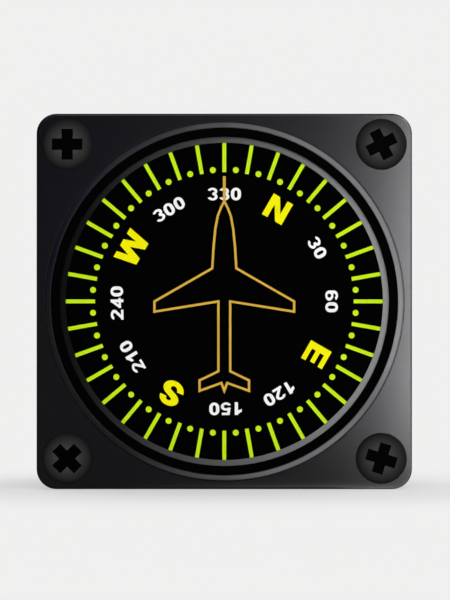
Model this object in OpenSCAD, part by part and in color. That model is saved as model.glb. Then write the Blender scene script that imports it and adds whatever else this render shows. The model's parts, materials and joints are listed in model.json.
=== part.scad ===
// Panel-mounted vertical-card magnetic compass, drawn on a heading of 330 degrees.
// Millimetres. X points right and Z up. Y runs from the pilot into the panel.
// The flange's rear face, which lies on the panel, is the plane Y = 0.

/* [Front flange] */
// Side of the square front flange
flange_w = 82.55; // [75:0.05:90]
// Thickness of the front flange
flange_t = 6.35; // [6.2:0.05:7]
// Radius of the flange's corners
flange_corner_r = 4.4; // [2:0.1:6]
// Bevel around the flange's front edge
flange_bevel = 0.4; // [0.1:0.1:0.8]

/* [Mounting screws] */
// Distance of a mounting screw's axis from the flange's two edges
screw_edge = 6.775; // [6.1:0.025:7.5]
// Radius of a mounting screw's thread behind the flange
screw_r = 2.4; // [1.6:0.1:3]
// Step from the thread out to the plain shoulder inside the flange
screw_grip_step = 0.6; // [0.5:0.05:0.8]
// Radial clearance of the shoulder in the flange
screw_hole_gap = 0.2; // [0.1:0.05:0.5]
// Length of a mounting screw behind the flange
screw_reach = 11; // [6:0.5:20]
// Radius of a mounting screw's head
screw_head_r = 5.6; // [5:0.1:6]
// Height of the straight rim of the head
screw_rim_h = 0.7; // [0.4:0.1:1.2]
// Height of the dome above the rim
screw_dome_h = 1.4; // [0.8:0.1:2]
// Length of the cross recess across the head
recess_len = 6.75; // [5:0.05:8]
// Width of a recess arm
recess_w = 2.5; // [1.5:0.1:3]
// Depth of the recess below the top of the dome
recess_depth = 1.5; // [0.8:0.1:1.8]
// Turn of each recess: upper left, upper right, lower left, lower right
recess_turns = [0, 27, 45, -17]; // [-90:1:90]

/* [Bezel ring and lens] */
// Width of the flange left beside the bezel ring
bezel_land = 1.875; // [1.5:0.025:2.5]
// Width of the bezel ring as seen from the front
bezel_w = 1.2; // [0.9:0.05:1.5]
// Rise of the bezel ring above the flange
bezel_rise = 0.9; // [0.8:0.05:2]
// Radial gap between the bezel ring and the flange
bezel_gap = 0.25; // [0.05:0.05:0.3]
// Width of the lens gasket that covers the glass
gasket_cover = 1.2; // [0.8:0.05:1.6]
// Thickness of the lens gasket
gasket_t = 0.8; // [0.5:0.05:1]
// Step from the bezel ring's outside in to the edge of the glass
glass_step = 2; // [1.6:0.05:2.3]
// Thickness of the lens glass
glass_t = 1.4; // [1:0.1:1.8]
// Radial gap around the glass and the mask
lens_gap = 0.2; // [0.1:0.05:0.3]
// Width of the dial mask ring
mask_w = 2.4; // [2:0.05:2.8]
// Width of the mask's sloping face
mask_slope_w = 1.3; // [1:0.05:1.5]
// Fall of the mask's sloping face towards the outside
mask_fall = 0.2; // [0.1:0.05:0.8]
// Gap between the mask's inner edge and the glass
mask_lip = 0.2; // [0.1:0.05:0.3]
// Thickness of the dial mask
mask_t = 1.2; // [1:0.05:1.5]

/* [Aeroplane mark] */
// Width of the painted line
mark_w = 0.5; // [0.4:0.05:0.8]
// Width of the lubber line
lubber_w = 0.6; // [0.4:0.05:0.8]
// Thickness of the mark on the back of the glass
mark_t = 0.2; // [0.1:0.05:0.3]
// Height of the lubber line's top above the centre
lubber_top = 27.6; // [25:0.1:29]
// Height of the nose above the centre
nose_top = 22.1; // [20:0.1:24]
// Half width of the fuselage at the wing's leading edge
fuselage_half = 2.65; // [2.4:0.05:3]
// Height of the leading edge at the fuselage
wing_root_top = 7.3; // [6:0.1:9]
// Half of the wing span
wing_half = 15.4; // [13:0.1:17]
// Chord of the wing at its tip
wing_tip_chord = 2.25; // [1.8:0.05:3]
// Half width of the tail boom
boom_half = 1.3; // [1.1:0.05:1.6]
// Distance of the boom's end below the centre
boom_end = 15.4; // [13:0.1:17]
// Half of the tail span
tail_half = 5.45; // [4:0.05:7]
// Drop of the tail's leading edge from the boom to its tip
tail_sweep = 2; // [1:0.1:3]
// Chord of the tail at its tip
tail_chord = 2.3; // [1.8:0.1:3]

/* [Dial card] */
// Step from the edge of the glass in to the edge of the dial card
dial_step = 1.4; // [1.1:0.05:1.7]
// Thickness of the dial card
dial_t = 0.8; // [0.5:0.05:1]
// Gap between the dial's face and the mask
dial_gap = 0.5; // [0.35:0.05:0.8]
// Radial gap between the dial and the flange's bore
dial_rim_gap = 0.4; // [0.25:0.05:0.6]
// Number of ticks, and of dots between them
tick_count = 36; // [24:12:36]
// Length of a tick
tick_len = 6.95; // [5:0.05:8]
// Distance of the ticks' ends from the card's edge
tick_margin = 0.5; // [0.3:0.05:0.8]
// Width of a tick
tick_w = 0.85; // [0.6:0.05:1.2]
// Radius of a dot
dot_r = 0.66; // [0.4:0.02:0.9]
// Distance of the dots' middles outside the ticks' inner ends
dot_step = 0.55; // [0:0.05:2]
// Thickness of the luminous paint
paint_t = 0.12; // [0.08:0.01:0.2]
// Heading shown at the lubber line
rest_heading = 330; // [0:1:359]

/* [Dial spindle] */
// Radius of the dial arbor
arbor_r = 1.5; // [1.2:0.05:1.8]
// Radius of the hub's flange behind the card
hub_r = 8; // [6:0.5:12]
// Thickness of the hub's flange
hub_t = 1.5; // [1:0.1:2]
// Radius of the hub's boss
hub_boss_r = 3.5; // [3:0.1:4.2]
// Length of the hub's boss
hub_boss_len = 3; // [2.5:0.1:3.5]
// End play of every turning piece
end_play = 0.2; // [0.1:0.05:0.3]
// Radius of a bearing bush's body
bush_r = 3.2; // [2.6:0.1:3.6]
// Length of a bush's body
bush_len = 3; // [2:0.1:4]
// Radius of a bush's flange
bush_flange_r = 4.5; // [4.2:0.1:5]
// Thickness of a bush's flange
bush_flange_t = 0.5; // [0.4:0.05:0.7]
// Radius of the bearing housing on the front plate
housing_r = 5.5; // [5.2:0.1:6.5]
// Length of the bearing housing
housing_len = 8.5; // [8.4:0.1:10]
// Radial clearance of a turning shaft
running_gap = 0.03; // [0.02:0.01:0.06]
// Radial clearance of a pressed piece
press_gap = 0.02; // [0.01:0.01:0.04]

/* [Bevel drive] */
// Teeth of each bevel gear
bevel_teeth = 24; // [20:4:24]
// Module of the bevel teeth
bevel_module = 0.8; // [0.74:0.02:0.82]
// Face width of the bevel teeth
bevel_face = 4.2; // [3:0.1:4.6]
// Pressure angle of all the teeth
pressure_angle = 20; // [20:1:22]
// Backlash at the pitch line of the bevel gears
bevel_backlash = 0.16; // [0.12:0.01:0.25]
// Points on each flank
flank_steps = 4; // [3:1:6]
// Radius of a bevel gear's boss
bevel_boss_r = 4.5; // [3.5:0.1:5]
// Length of a bevel gear's boss
bevel_boss_len = 1.5; // [1.2:0.1:2.2]

/* [Magnet rotor] */
// Radius of the rotor staff
staff_r = 1; // [0.8:0.05:1.3]
// Length of a pivot cone
pivot_len = 1.5; // [1.2:0.1:1.8]
// Radius of a pivot's tip
pivot_tip_r = 0.15; // [0.1:0.01:0.2]
// Depth of the upper pivot's tip below the upper bridge
upper_pivot_drop = 1; // [0.5:0.1:2]
// Length of a bar magnet
magnet_len = 24; // [20:0.5:24.5]
// Width of a bar magnet
magnet_w = 4; // [3:0.1:4.5]
// Height of a bar magnet
magnet_h = 4; // [3:0.1:4.5]
// Distance between the two magnets' middles
magnet_spread = 10; // [8:0.5:11]
// Radius of the carrier's disc
carrier_r = 9.5; // [8:0.1:11]
// Thickness of the carrier's disc
carrier_t = 2; // [1.5:0.1:2.5]
// Radius of the carrier's hub
carrier_hub_r = 3.5; // [2.5:0.1:4.5]
// Length of the carrier's hub
carrier_hub_len = 4.5; // [3.5:0.1:5.5]

/* [Damping cup] */
// Gap between the swinging magnets and the cup
cup_gap = 0.7; // [0.5:0.05:1]
// Wall of the copper cup
cup_wall = 1.4; // [1:0.1:1.6]
// Thickness of the cup's floor
cup_floor = 1.5; // [1.2:0.1:2]
// Gap between the magnets and the cup's floor
cup_under = 2; // [1.8:0.1:2.5]
// Height of the cup's inside
cup_depth = 10; // [7:0.5:10]
// Distance of the cup's screws from its middle
cup_screw_r = 9; // [7:0.5:11]
// Gap around the jewel screw in the cup's floor
cup_hole_gap = 0.3; // [0.1:0.05:0.5]

/* [Jewels and bridges] */
// Radius of a jewel screw
jewel_screw_r = 2; // [1.8:0.1:2.4]
// Radius of a pivot jewel
jewel_r = 1.2; // [1:0.05:1.4]
// Thickness of a pivot jewel
jewel_t = 1.2; // [1:0.05:1.5]
// Radius of a jewel's cup at its mouth
jewel_mouth_r = 0.9; // [0.8:0.02:0.95]
// Depth of a jewel's cup
jewel_cup_depth = 0.6; // [0.5:0.02:0.7]
// Shake between a pivot and its jewel
pivot_shake = 0.03; // [0.02:0.01:0.05]
// Radius of a lock nut's corners
lock_nut_r = 3.8; // [3.4:0.1:4.4]
// Height of a lock nut
lock_nut_h = 2.5; // [2:0.1:3]
// Room between the dial's gear and the upper bridge
bridge_room = 0.6; // [0.3:0.05:1.5]
// Thickness of a bridge
bridge_t = 3; // [2.6:0.1:3.2]
// Width of a bridge
bridge_w = 16; // [14:0.5:18]
// Distance between the two screws at one end of a bridge
bridge_screw_pitch = 9; // [8:0.5:10]

/* [Movement frame] */
// Gap between the plates and the can
plate_clear = 3.1; // [2:0.1:3.4]
// Thickness of the plates
plate_t = 2.5; // [2:0.1:2.6]
// Space between the cup and the plates
plate_room = 0.5; // [0.3:0.05:0.6]
// Radius of the windows in the plates
window_r = 8; // [5:0.5:8.5]
// Distance of the windows from the middle
window_x = 20; // [18:0.5:22]
// Distance of the pillars' axes from the plates' edge
pillar_edge = 3.7; // [3.3:0.05:4.5]
// Angle of the pillars above and below the dial's axis
pillar_angle = 30; // [26:1:32]
// Radius of a pillar
pillar_r = 2.5; // [2.3:0.1:3]
// Radius of a rear standoff
standoff_r = 3; // [2.6:0.1:3.2]
// Length of a rear standoff
standoff_len = 6.5; // [6:0.1:9]

/* [Compensator] */
// Teeth of each compensator gear
comp_teeth = 20; // [18:2:20]
// Module of the compensator teeth
comp_module = 0.8; // [0.76:0.02:0.82]
// Backlash of the compensator gears
comp_backlash = 0.12; // [0.08:0.01:0.2]
// Thickness of a compensator gear
comp_gear_t = 3; // [2.5:0.1:3.2]
// Gap between the two layers of gears
comp_layer_gap = 0.4; // [0.3:0.05:0.6]
// Gap between the compensator gears and the can
comp_can_gap = 0.5; // [0.3:0.05:2]
// Radius of a compensator shaft
comp_shaft_r = 1.5; // [1.2:0.05:1.6]
// Length of a compensator magnet
comp_magnet_len = 9; // [6:0.5:9]
// Width of a compensator magnet
comp_magnet_w = 2.2; // [1.6:0.1:2.4]
// Thickness of a compensator magnet
comp_magnet_t = 1.5; // [1:0.1:1.8]
// Distance of a compensator magnet from its shaft's axis
comp_magnet_off = 3.4; // [3:0.1:3.5]
// Thickness of the compensator plate
comp_plate_t = 2; // [1.6:0.1:2.2]
// Metal of the compensator plate around its pillars and shafts
comp_plate_edge = 3; // [2.4:0.1:3.4]
// Distance of the compensator pillars' axes from the rear plate's edge
comp_pillar_edge = 2.45; // [2.2:0.05:3]
// Drop of the compensator pillars below the shafts
comp_pillar_drop = 4; // [3:0.1:5]
// Radius of a compensator pillar
comp_pillar_r = 2; // [1.8:0.1:2.2]
// Radius of an adjuster's head
adjuster_r = 2.6; // [2.2:0.1:3]
// Gap around an adjuster's head in the cover
adjuster_gap = 0.3; // [0.2:0.05:0.5]
// Depth of an adjuster's end below the cover's face
adjuster_sink = 0.6; // [0.3:0.1:1.2]
// Width of an adjuster's slot
adjuster_slot_w = 0.8; // [0.6:0.1:1]
// Depth of an adjuster's slot
adjuster_slot_d = 1.2; // [0.8:0.1:1.5]

/* [Case] */
// Width of the flange left outside the case can
can_land = 2.075; // [1.8:0.025:2.6]
// Wall of the case can
can_wall = 1.6; // [1.4:0.05:1.8]
// Depth of the can's socket in the flange
can_socket = 2; // [1.8:0.05:2.1]
// Clearance of the can's edge in the socket, each side
can_gap = 0.05; // [0.03:0.01:0.08]
// Metal left between the can's socket and the lens seat
seat_web = 0.8; // [0.7:0.05:1]
// Radius of a cover lug inside the can
lug_r = 3.2; // [3:0.1:3.4]
// Distance of the lugs' axes inside the can's bore
lug_inset = 2.8; // [2.2:0.05:3]
// Length of a cover lug
lug_len = 4.5; // [3.5:0.1:4.8]
// Radius of a grub screw
grub_r = 0.8; // [0.6:0.05:0.85]
// Depth of a grub screw below the flange's edge
grub_sink = 0.25; // [0.1:0.05:0.4]
// Thickness of the rear gasket
rear_gasket_t = 0.6; // [0.4:0.05:1]
// Thickness of the rear cover
cover_t = 3; // [2.6:0.1:4]
// Bevel around the rear cover's edge
cover_bevel = 0.8; // [0.3:0.1:1.2]

/* [Small screws] */
// Radial clearance of a small screw in its holes
small_screw_gap = 0.05; // [0.03:0.01:0.1]
// Shank radius of the movement screws
movement_screw_r = 1.5; // [1.2:0.05:1.6]
// Shank radius of the cover and front plate screws
plate_screw_r = 1.25; // [1:0.05:1.4]
// Shank radius of the bridge, cup and compensator screws
fine_screw_r = 0.8; // [0.6:0.05:0.9]
// Head radius of a small screw, as a multiple of its shank
head_ratio = 1.85; // [1.6:0.05:2]
// Head height of a small screw, as a multiple of its shank
head_h_ratio = 1.1; // [0.9:0.05:1.3]
// Width of a small screw's slot, as a multiple of its shank
slot_ratio = 0.45; // [0.3:0.05:0.6]
// Length of a screw in its thread, as a multiple of its shank
thread_ratio = 4; // [3:0.25:4.5]

/* [Hidden] */

$fa = 4;
$fs = 0.3;
// A cut runs this far past the face it opens
over = 1;

// Radii, from the flange's edge inwards
can_r = flange_w / 2 - can_land;
can_inner_r = can_r - can_wall;
bezel_r = flange_w / 2 - bezel_land;
glass_r = bezel_r - glass_step;
gasket_inner_r = glass_r - gasket_cover;
mask_inner_r = glass_r - mask_w;
dial_r = glass_r - dial_step;
bore_r = dial_r + dial_rim_gap;
tick_outer_r = dial_r - tick_margin;
tick_inner_r = tick_outer_r - tick_len;
dot_ring_r = tick_inner_r + dot_step;
plate_r = can_inner_r - plate_clear;
pillar_ring_r = plate_r - pillar_edge;
lug_ring_r = can_inner_r - lug_inset;

// Front stack, from the can's socket towards the pilot
lens_seat_y = -can_socket - seat_web;
lens_seat_r = glass_r + lens_gap;
glass_y = lens_seat_y - mask_t;
ring_seat_y = glass_y - glass_t;
gasket_front_y = ring_seat_y - gasket_t;
bezel_inner_r = bezel_r - bezel_w;
ring_seat_r = bezel_r + bezel_gap;
gasket_outer_r = bezel_r - bezel_w / 3;

// Dial spindle, from the card towards the rear
dial_front_y = lens_seat_y + dial_gap;
dial_back_y = dial_front_y + dial_t;
hub_back_y = dial_back_y + hub_t;
bush_front_y = hub_back_y + hub_boss_len + end_play;
housing_y = bush_front_y + bush_flange_t;
housing_back_y = housing_y + housing_len;
bevel_boss_y = housing_back_y + bush_flange_t + end_play;

// Bevel gears: two equal gears at right angles, so both pitch cones stand at half a right angle
pitch_cone = 45;
bevel_pitch_r = bevel_module * bevel_teeth / 2;
cone_len = bevel_pitch_r / sin(pitch_cone);
virtual_r = bevel_pitch_r / cos(pitch_cone);
virtual_teeth = bevel_teeth / cos(pitch_cone);
addendum = 1;
dedendum = 1.25;
bevel_tip_r = virtual_r + addendum * bevel_module;
bevel_root_r = virtual_r - dedendum * bevel_module;
bevel_base_r = virtual_r * cos(pressure_angle);
bevel_start_r = max(bevel_base_r, bevel_root_r + bevel_module / 8);
bevel_back = bevel_pitch_r + dedendum * bevel_module * sin(pitch_cone);
bevel_toe_back = bevel_back * (1 - bevel_face / cone_len);
bevel_outer_r = bevel_pitch_r + addendum * bevel_module * cos(pitch_cone);
rotor_y = bevel_boss_y + bevel_boss_len + bevel_back;

// Rotor and damping cup, from the dial's axis downwards
magnet_swing = norm([magnet_len / 2, (magnet_spread + magnet_w) / 2]);
cup_inner_r = magnet_swing + cup_gap;
cup_outer_r = cup_inner_r + cup_wall;
rotor_boss_z = -bevel_back - bevel_boss_len;
carrier_top_z = rotor_boss_z - carrier_hub_len;
magnet_top_z = carrier_top_z - carrier_t;
magnet_bottom_z = magnet_top_z - magnet_h;
cup_floor_z = magnet_bottom_z - cup_under;
lower_bridge_top = cup_floor_z - cup_floor;
lower_bridge_z = lower_bridge_top - bridge_t;
jewel_cup_end_r = pivot_tip_r + pivot_shake;
pivot_in_jewel = jewel_cup_depth - pivot_shake;
upper_bridge_z = bevel_outer_r + bridge_room;
upper_pivot_z = upper_bridge_z - upper_pivot_drop;
lower_pivot_z = cup_floor_z + pivot_in_jewel;
lower_jewel_top = lower_pivot_z + pivot_in_jewel;
upper_jewel_z = upper_pivot_z - pivot_in_jewel;
north_turn = rest_heading - 360;

// Movement frame, along the depth
front_plate_y = rotor_y - cup_outer_r - plate_room - plate_t;
front_plate_back = front_plate_y + plate_t;
rear_plate_y = rotor_y + cup_outer_r + plate_room;
rear_plate_back = rear_plate_y + plate_t;
cover_y = rear_plate_back + standoff_len;
cover_back = cover_y + cover_t;
can_end = cover_y - rear_gasket_t;

// Compensator, from the rear plate towards the front
comp_pitch_r = comp_module * comp_teeth / 2;
comp_tip_r = comp_pitch_r + addendum * comp_module;
comp_z = sqrt(pow(can_inner_r - comp_can_gap - comp_tip_r, 2) - pow(comp_pitch_r, 2));
comp_pillar_z = comp_z - comp_pillar_drop;
comp_pillar_x = sqrt(pow(plate_r - comp_pillar_edge, 2) - pow(comp_pillar_z, 2));
ns_layer_y = rear_plate_y - end_play - comp_gear_t;
ew_layer_y = ns_layer_y - comp_layer_gap - comp_gear_t;
comp_plate_back = ew_layer_y - end_play;
comp_plate_y = comp_plate_back - comp_plate_t;
adjuster_end = cover_back - adjuster_sink;
half_tooth = 180 / comp_teeth;

// Places that several pieces share
screw_grip_r = screw_r + screw_grip_step;
screw_spots = [for (z = [1, -1], x = [-1, 1]) [x, z] * (flange_w / 2 - screw_edge)];
pillar_spots = [for (z = [1, -1], x = [-1, 1])
  pillar_ring_r * [x * cos(pillar_angle), z * sin(pillar_angle)]];
lug_spots = [for (a = [0 : 90 : 270]) lug_ring_r * [cos(a), sin(a)]];
comp_pillar_spots = [for (x = [-1, 1]) [x * comp_pillar_x, comp_pillar_z]];
upper_bridge_spots = [for (x = [-1, 1]) [x * bridge_screw_pitch / 2, upper_bridge_z + bridge_t / 2]];
lower_bridge_spots = [for (x = [-1, 1]) [x * bridge_screw_pitch / 2, lower_bridge_z + bridge_t / 2]];
bridge_spots = concat(upper_bridge_spots, lower_bridge_spots);

// Angle whose arc is the involute of an angle, in degrees
function involute(a) = tan(a) * 180 / PI - a;
// Half of a tooth's angle at radius r of a gear with pitch radius p
function tooth_half(r, p, teeth, play) =
  90 / teeth - play / p * 45 / PI + involute(pressure_angle)
  - involute(acos(min(1, p * cos(pressure_angle) / r)));
// Radii of the points on one flank, from its start to the tip
function flank_radii(start, tip) = [for (i = [0 : flank_steps]) start + (tip - start) * i / flank_steps];

// Draws its children in front view and gives them thickness t from depth y towards the rear
module slab(y, t)
  translate([0, y + t, 0]) rotate([90, 0, 0]) linear_extrude(t) children();

// Turns a half section of [radius, depth] points about the dial's axis
module turned(points)
  rotate([-90, 0, 0]) rotate_extrude() polygon(points);

// A round rod of radius r from depth y0 to depth y1, at one spot in front view
module rod(spot, y0, y1, r)
  translate([spot[0], y0, spot[1]]) rotate([-90, 0, 0]) cylinder(h = y1 - y0, r = r);

// A tube from depth y0 to depth y1
module tube(spot, y0, y1, r, bore)
  difference() {
    rod(spot, y0, y1, r);
    rod(spot, y0 - over, y1 + over, bore);
  }

// A slotted cheese-head screw whose head lies on the plane Z = 0, with its shank of length len below
module small_screw(r, len) {
  head_h = r * head_h_ratio;
  difference() {
    union() {
      cylinder(h = head_h, r = r * head_ratio);
      translate([0, 0, -len]) cylinder(h = len + head_h / 2, r = r);
    }
    translate([-r * head_ratio - over, -r * slot_ratio / 2, head_h / 2])
      cube([2 * (r * head_ratio + over), r * slot_ratio, head_h]);
  }
}

// Small screws with heads on the plane at depth y: those driven from the front point to the rear
module front_driven(spots, y, r, len)
  for (s = spots) translate([s[0], y, s[1]]) rotate([90, 0, 0]) small_screw(r, len);
module rear_driven(spots, y, r, len)
  for (s = spots) translate([s[0], y, s[1]]) rotate([-90, 0, 0]) small_screw(r, len);

// Through holes for small screws between two depths
module screw_holes(spots, y0, y1, r)
  for (s = spots) rod(s, y0, y1, r + small_screw_gap);

// A square plate with round corners and a bevelled front edge, lying between the depths -t and 0
module bevelled_square(w, t, r, bevel) {
  side = [[-w / 2, 0], [w / 2, 0], [w / 2, t - bevel], [w / 2 - bevel, t], [bevel - w / 2, t],
    [-w / 2, t - bevel]];
  straight = w - 2 * r;
  for (a = [0, 90])
    rotate([90, 0, 0]) rotate([0, 0, a]) rotate([90, 0, 0])
      translate([0, 0, -straight / 2]) linear_extrude(straight) polygon(side);
  for (x = [-1, 1], z = [-1, 1])
    translate([x * straight / 2, 0, z * straight / 2]) rotate([90, 0, 0]) {
      cylinder(h = t - bevel, r = r);
      translate([0, 0, t - bevel]) cylinder(h = bevel, r1 = r, r2 = r - bevel);
    }
}

// One bevel gear with its apex at the origin and its teeth on the side of positive Z
module bevel_gear(shaft_r) {
  radii = flank_radii(bevel_start_r, bevel_tip_r);
  half = [for (r = radii) tooth_half(r, virtual_r, virtual_teeth, bevel_backlash)];
  last = len(radii) - 1;
  heights = concat([bevel_root_r], radii, [for (i = [last : -1 : 0]) radii[i]], [bevel_root_r]);
  angles = concat([-half[0]], -half, [for (i = [last : -1 : 0]) half[i]], [half[0]]);
  n = len(heights);
  total = n * bevel_teeth;
  // A point of the tooth form at a given distance along the pitch cone
  function spot(i, along) =
    let (k = i % n, cone = pitch_cone + atan((heights[k] - virtual_r) / cone_len),
      turn = floor(i / n) * 360 / bevel_teeth + angles[k] / sin(pitch_cone),
      s = along / cos(cone - pitch_cone))
    [s * sin(cone) * cos(turn), s * sin(cone) * sin(turn), s * cos(cone)];
  heel = [for (i = [0 : total - 1]) spot(i, cone_len)];
  toe = [for (i = [0 : total - 1]) spot(i, cone_len - bevel_face)];
  flanks = [for (i = [0 : total - 1]) let (j = (i + 1) % total) [i, j, j + total, i + total]];
  // Each tooth's end is closed by strips between its two flanks
  heel_ends = [for (t = [0 : bevel_teeth - 1], k = [0 : n / 2 - 2])
    let (a = t * n + k, b = t * n + n - 1 - k) [a, b, b - 1, a + 1]];
  toe_ends = [for (f = heel_ends) [for (i = [3 : -1 : 0]) f[i] + total]];
  root = [for (t = [0 : bevel_teeth - 1], k = [0, n - 1]) t * n + k];
  heel_root = [for (i = [len(root) - 1 : -1 : 0]) root[i]];
  toe_root = [for (i = root) i + total];
  difference() {
    union() {
      polyhedron(concat(heel, toe), concat(flanks, heel_ends, toe_ends, [heel_root, toe_root]));
      translate([0, 0, bevel_back - over]) cylinder(h = bevel_boss_len + over, r = bevel_boss_r);
    }
    cylinder(h = bevel_back + bevel_boss_len + over, r = shaft_r + press_gap);
  }
}

// Outline of one compensator gear
module comp_gear_outline() {
  root = comp_pitch_r - dedendum * comp_module;
  start = max(root + comp_module / 8, comp_pitch_r * cos(pressure_angle));
  radii = flank_radii(start, comp_tip_r);
  half = [for (r = radii) tooth_half(r, comp_pitch_r, comp_teeth, comp_backlash)];
  last = len(radii) - 1;
  polygon([for (t = [0 : comp_teeth - 1])
    let (mid = t * 360 / comp_teeth,
      up = concat([[root, -half[0]]], [for (i = [0 : last]) [radii[i], -half[i]]]),
      down = concat([for (i = [last : -1 : 0]) [radii[i], half[i]]], [[root, half[0]]]))
      for (p = concat(up, down)) p[0] * [cos(mid + p[1]), sin(mid + p[1])]]);
}

// Stands its children on a compensator shaft, side -1 for the N-S shaft and 1 for the E-W shaft
module on_shaft(side) translate([side * comp_pitch_r, 0, comp_z]) children();

// A compensator gear with a pocket for its magnet, turned in front view
module comp_gear(side, y, bore, turn, magnet_turn)
  on_shaft(side) difference() {
    slab(y, comp_gear_t) rotate(turn) comp_gear_outline();
    rod([0, 0], y - over, y + comp_gear_t + over, bore);
    slab(y - over, comp_magnet_t + over) rotate(magnet_turn) comp_magnet_outline(press_gap);
  }

// Outline of a compensator magnet beside its shaft
module comp_magnet_outline(gap)
  translate([0, comp_magnet_off]) square([comp_magnet_len, comp_magnet_w] + 2 * [gap, gap], center = true);

module comp_magnet(side, y, turn)
  on_shaft(side) slab(y, comp_magnet_t) rotate(turn) comp_magnet_outline(0);

// A compensator shaft with a slotted head that stands in the cover
module adjuster(side)
  on_shaft(side) difference() {
    union() {
      rod([0, 0], comp_plate_y, rear_plate_back + over, comp_shaft_r);
      rod([0, 0], rear_plate_back + end_play, adjuster_end, adjuster_r);
    }
    slab(adjuster_end - adjuster_slot_d, adjuster_slot_d + over)
      square([2 * adjuster_r + over, adjuster_slot_w], center = true);
  }

// A movement plate with its windows and its pillar holes
module movement_disc(y, hole_r)
  difference() {
    rod([0, 0], y, y + plate_t, plate_r);
    for (x = [-1, 1]) rod([x * window_x, 0], y - over, y + plate_t + over, window_r);
    screw_holes(pillar_spots, y - over, y + plate_t + over, hole_r);
    screw_holes(bridge_spots, y - over, y + plate_t + over, fine_screw_r);
  }

// A flanged bush whose body begins at depth 0, with its flange in front
module bush()
  difference() {
    union() {
      rod([0, 0], -bush_flange_t, 0, bush_flange_r);
      rod([0, 0], -bush_flange_t, bush_len, bush_r);
    }
    rod([0, 0], -bush_flange_t - over, bush_len + over, arbor_r + running_gap);
  }

// A bridge between the plates, bored for its jewel screw and tapped at both ends
module bridge(z)
  difference() {
    translate([-bridge_w / 2, front_plate_back, z])
      cube([bridge_w, rear_plate_y - front_plate_back, bridge_t]);
    translate([0, rotor_y, z - over]) cylinder(h = bridge_t + 2 * over, r = jewel_screw_r + press_gap);
    for (x = [-1, 1]) {
      end = fine_screw_r * thread_ratio + small_screw_gap;
      spot = [x * bridge_screw_pitch / 2, z + bridge_t / 2];
      screw_holes([spot], front_plate_back - over, front_plate_back + end, fine_screw_r);
      screw_holes([spot], rear_plate_y - end, rear_plate_y + over, fine_screw_r);
    }
  }

// A jewel screw from its jewel's face at height 0 to its slotted end at height len
module jewel_screw(len)
  difference() {
    cylinder(h = len, r = jewel_screw_r);
    translate([0, 0, -over]) cylinder(h = jewel_t + over, r = jewel_r + press_gap);
    translate([-jewel_screw_r - over, -adjuster_slot_w / 2, len - adjuster_slot_d / 2])
      cube([2 * (jewel_screw_r + over), adjuster_slot_w, adjuster_slot_d]);
  }

// A jewel whose cup opens downwards at height 0
module jewel()
  difference() {
    cylinder(h = jewel_t, r = jewel_r);
    cylinder(h = jewel_cup_depth, r1 = jewel_mouth_r, r2 = jewel_cup_end_r);
  }

// Stands its children over the upper pivot, or turned over under the lower one
module at_upper_jewel() translate([0, rotor_y, upper_jewel_z]) children();
module at_lower_jewel() translate([0, rotor_y, lower_jewel_top]) rotate([180, 0, 0]) children();

module front_flange() color("#1b1b1f") difference() {
  bevelled_square(flange_w, flange_t, flange_corner_r, flange_bevel);
  rod([0, 0], -flange_t - over, over, bore_r);
  rod([0, 0], -flange_t - over, lens_seat_y, lens_seat_r);
  rod([0, 0], -flange_t - over, ring_seat_y, ring_seat_r);
  tube([0, 0], -can_socket, over, can_r + can_gap, can_inner_r - can_gap);
  for (s = screw_spots) rod(s, -flange_t - over, over, screw_grip_r + screw_hole_gap);
  for (a = [0 : 90 : 270])
    rotate([0, a, 0]) translate([can_r, -can_socket / 2, 0]) rotate([0, 90, 0])
      cylinder(h = flange_w, r = grub_r + press_gap);
}

module bezel_ring() color("#5c5c62") turned([
  [bezel_inner_r, gasket_front_y], [gasket_outer_r + press_gap, gasket_front_y],
  [gasket_outer_r + press_gap, ring_seat_y], [bezel_r, ring_seat_y], [bezel_r, -flange_t],
  [bezel_inner_r + bezel_w / 8, -flange_t - bezel_rise], [bezel_inner_r, -flange_t - bezel_rise]]);

module lens_gasket() color("#0a0a0a") turned([
  [gasket_inner_r, ring_seat_y], [gasket_outer_r, ring_seat_y],
  [gasket_outer_r, gasket_front_y], [gasket_inner_r, gasket_front_y]]);

module lens_glass() color("#cfdde4", 0.3) rod([0, 0], ring_seat_y, glass_y, glass_r);

module dial_mask() color("#5c5c62") turned([
  [mask_inner_r, lens_seat_y], [glass_r, lens_seat_y], [glass_r, glass_y],
  [mask_inner_r + mask_slope_w, glass_y],
  [mask_inner_r + mask_slope_w, glass_y + mask_lip + mask_fall], [mask_inner_r, glass_y + mask_lip]]);

// Curve of the nose, as shares of the fuselage's half width and of the nose's length
nose_curve = [[0.28, 0.1], [0.54, 0.22], [0.75, 0.42], [0.9, 0.7]];

// Right half of the aeroplane, from the nose to the tail
function half_plane() = concat(
  [[0, nose_top]],
  [for (c = nose_curve) [fuselage_half * c[0], nose_top - (nose_top - wing_root_top) * c[1]]],
  [[fuselage_half, wing_root_top], [wing_half, 0], [wing_half, -wing_tip_chord], [boom_half, 0],
    [boom_half, -boom_end], [tail_half, -boom_end - tail_sweep],
    [tail_half, -boom_end - tail_sweep - tail_chord],
    [boom_half / 2, -boom_end - tail_sweep - tail_chord / 4],
    [0, -boom_end - tail_sweep - tail_chord]]);

module aeroplane_outline() {
  right = half_plane();
  last = len(right) - 1;
  polygon(concat(right, [for (i = [last - 1 : -1 : 1]) [-right[i][0], right[i][1]]]));
}

module aeroplane_mark() color("#e6af32") slab(glass_y, mark_t) {
  difference() {
    offset(delta = mark_w / 2) aeroplane_outline();
    offset(delta = -mark_w / 2) aeroplane_outline();
  }
  translate([-lubber_w / 2, nose_top]) square([lubber_w, lubber_top - nose_top]);
}

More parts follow.
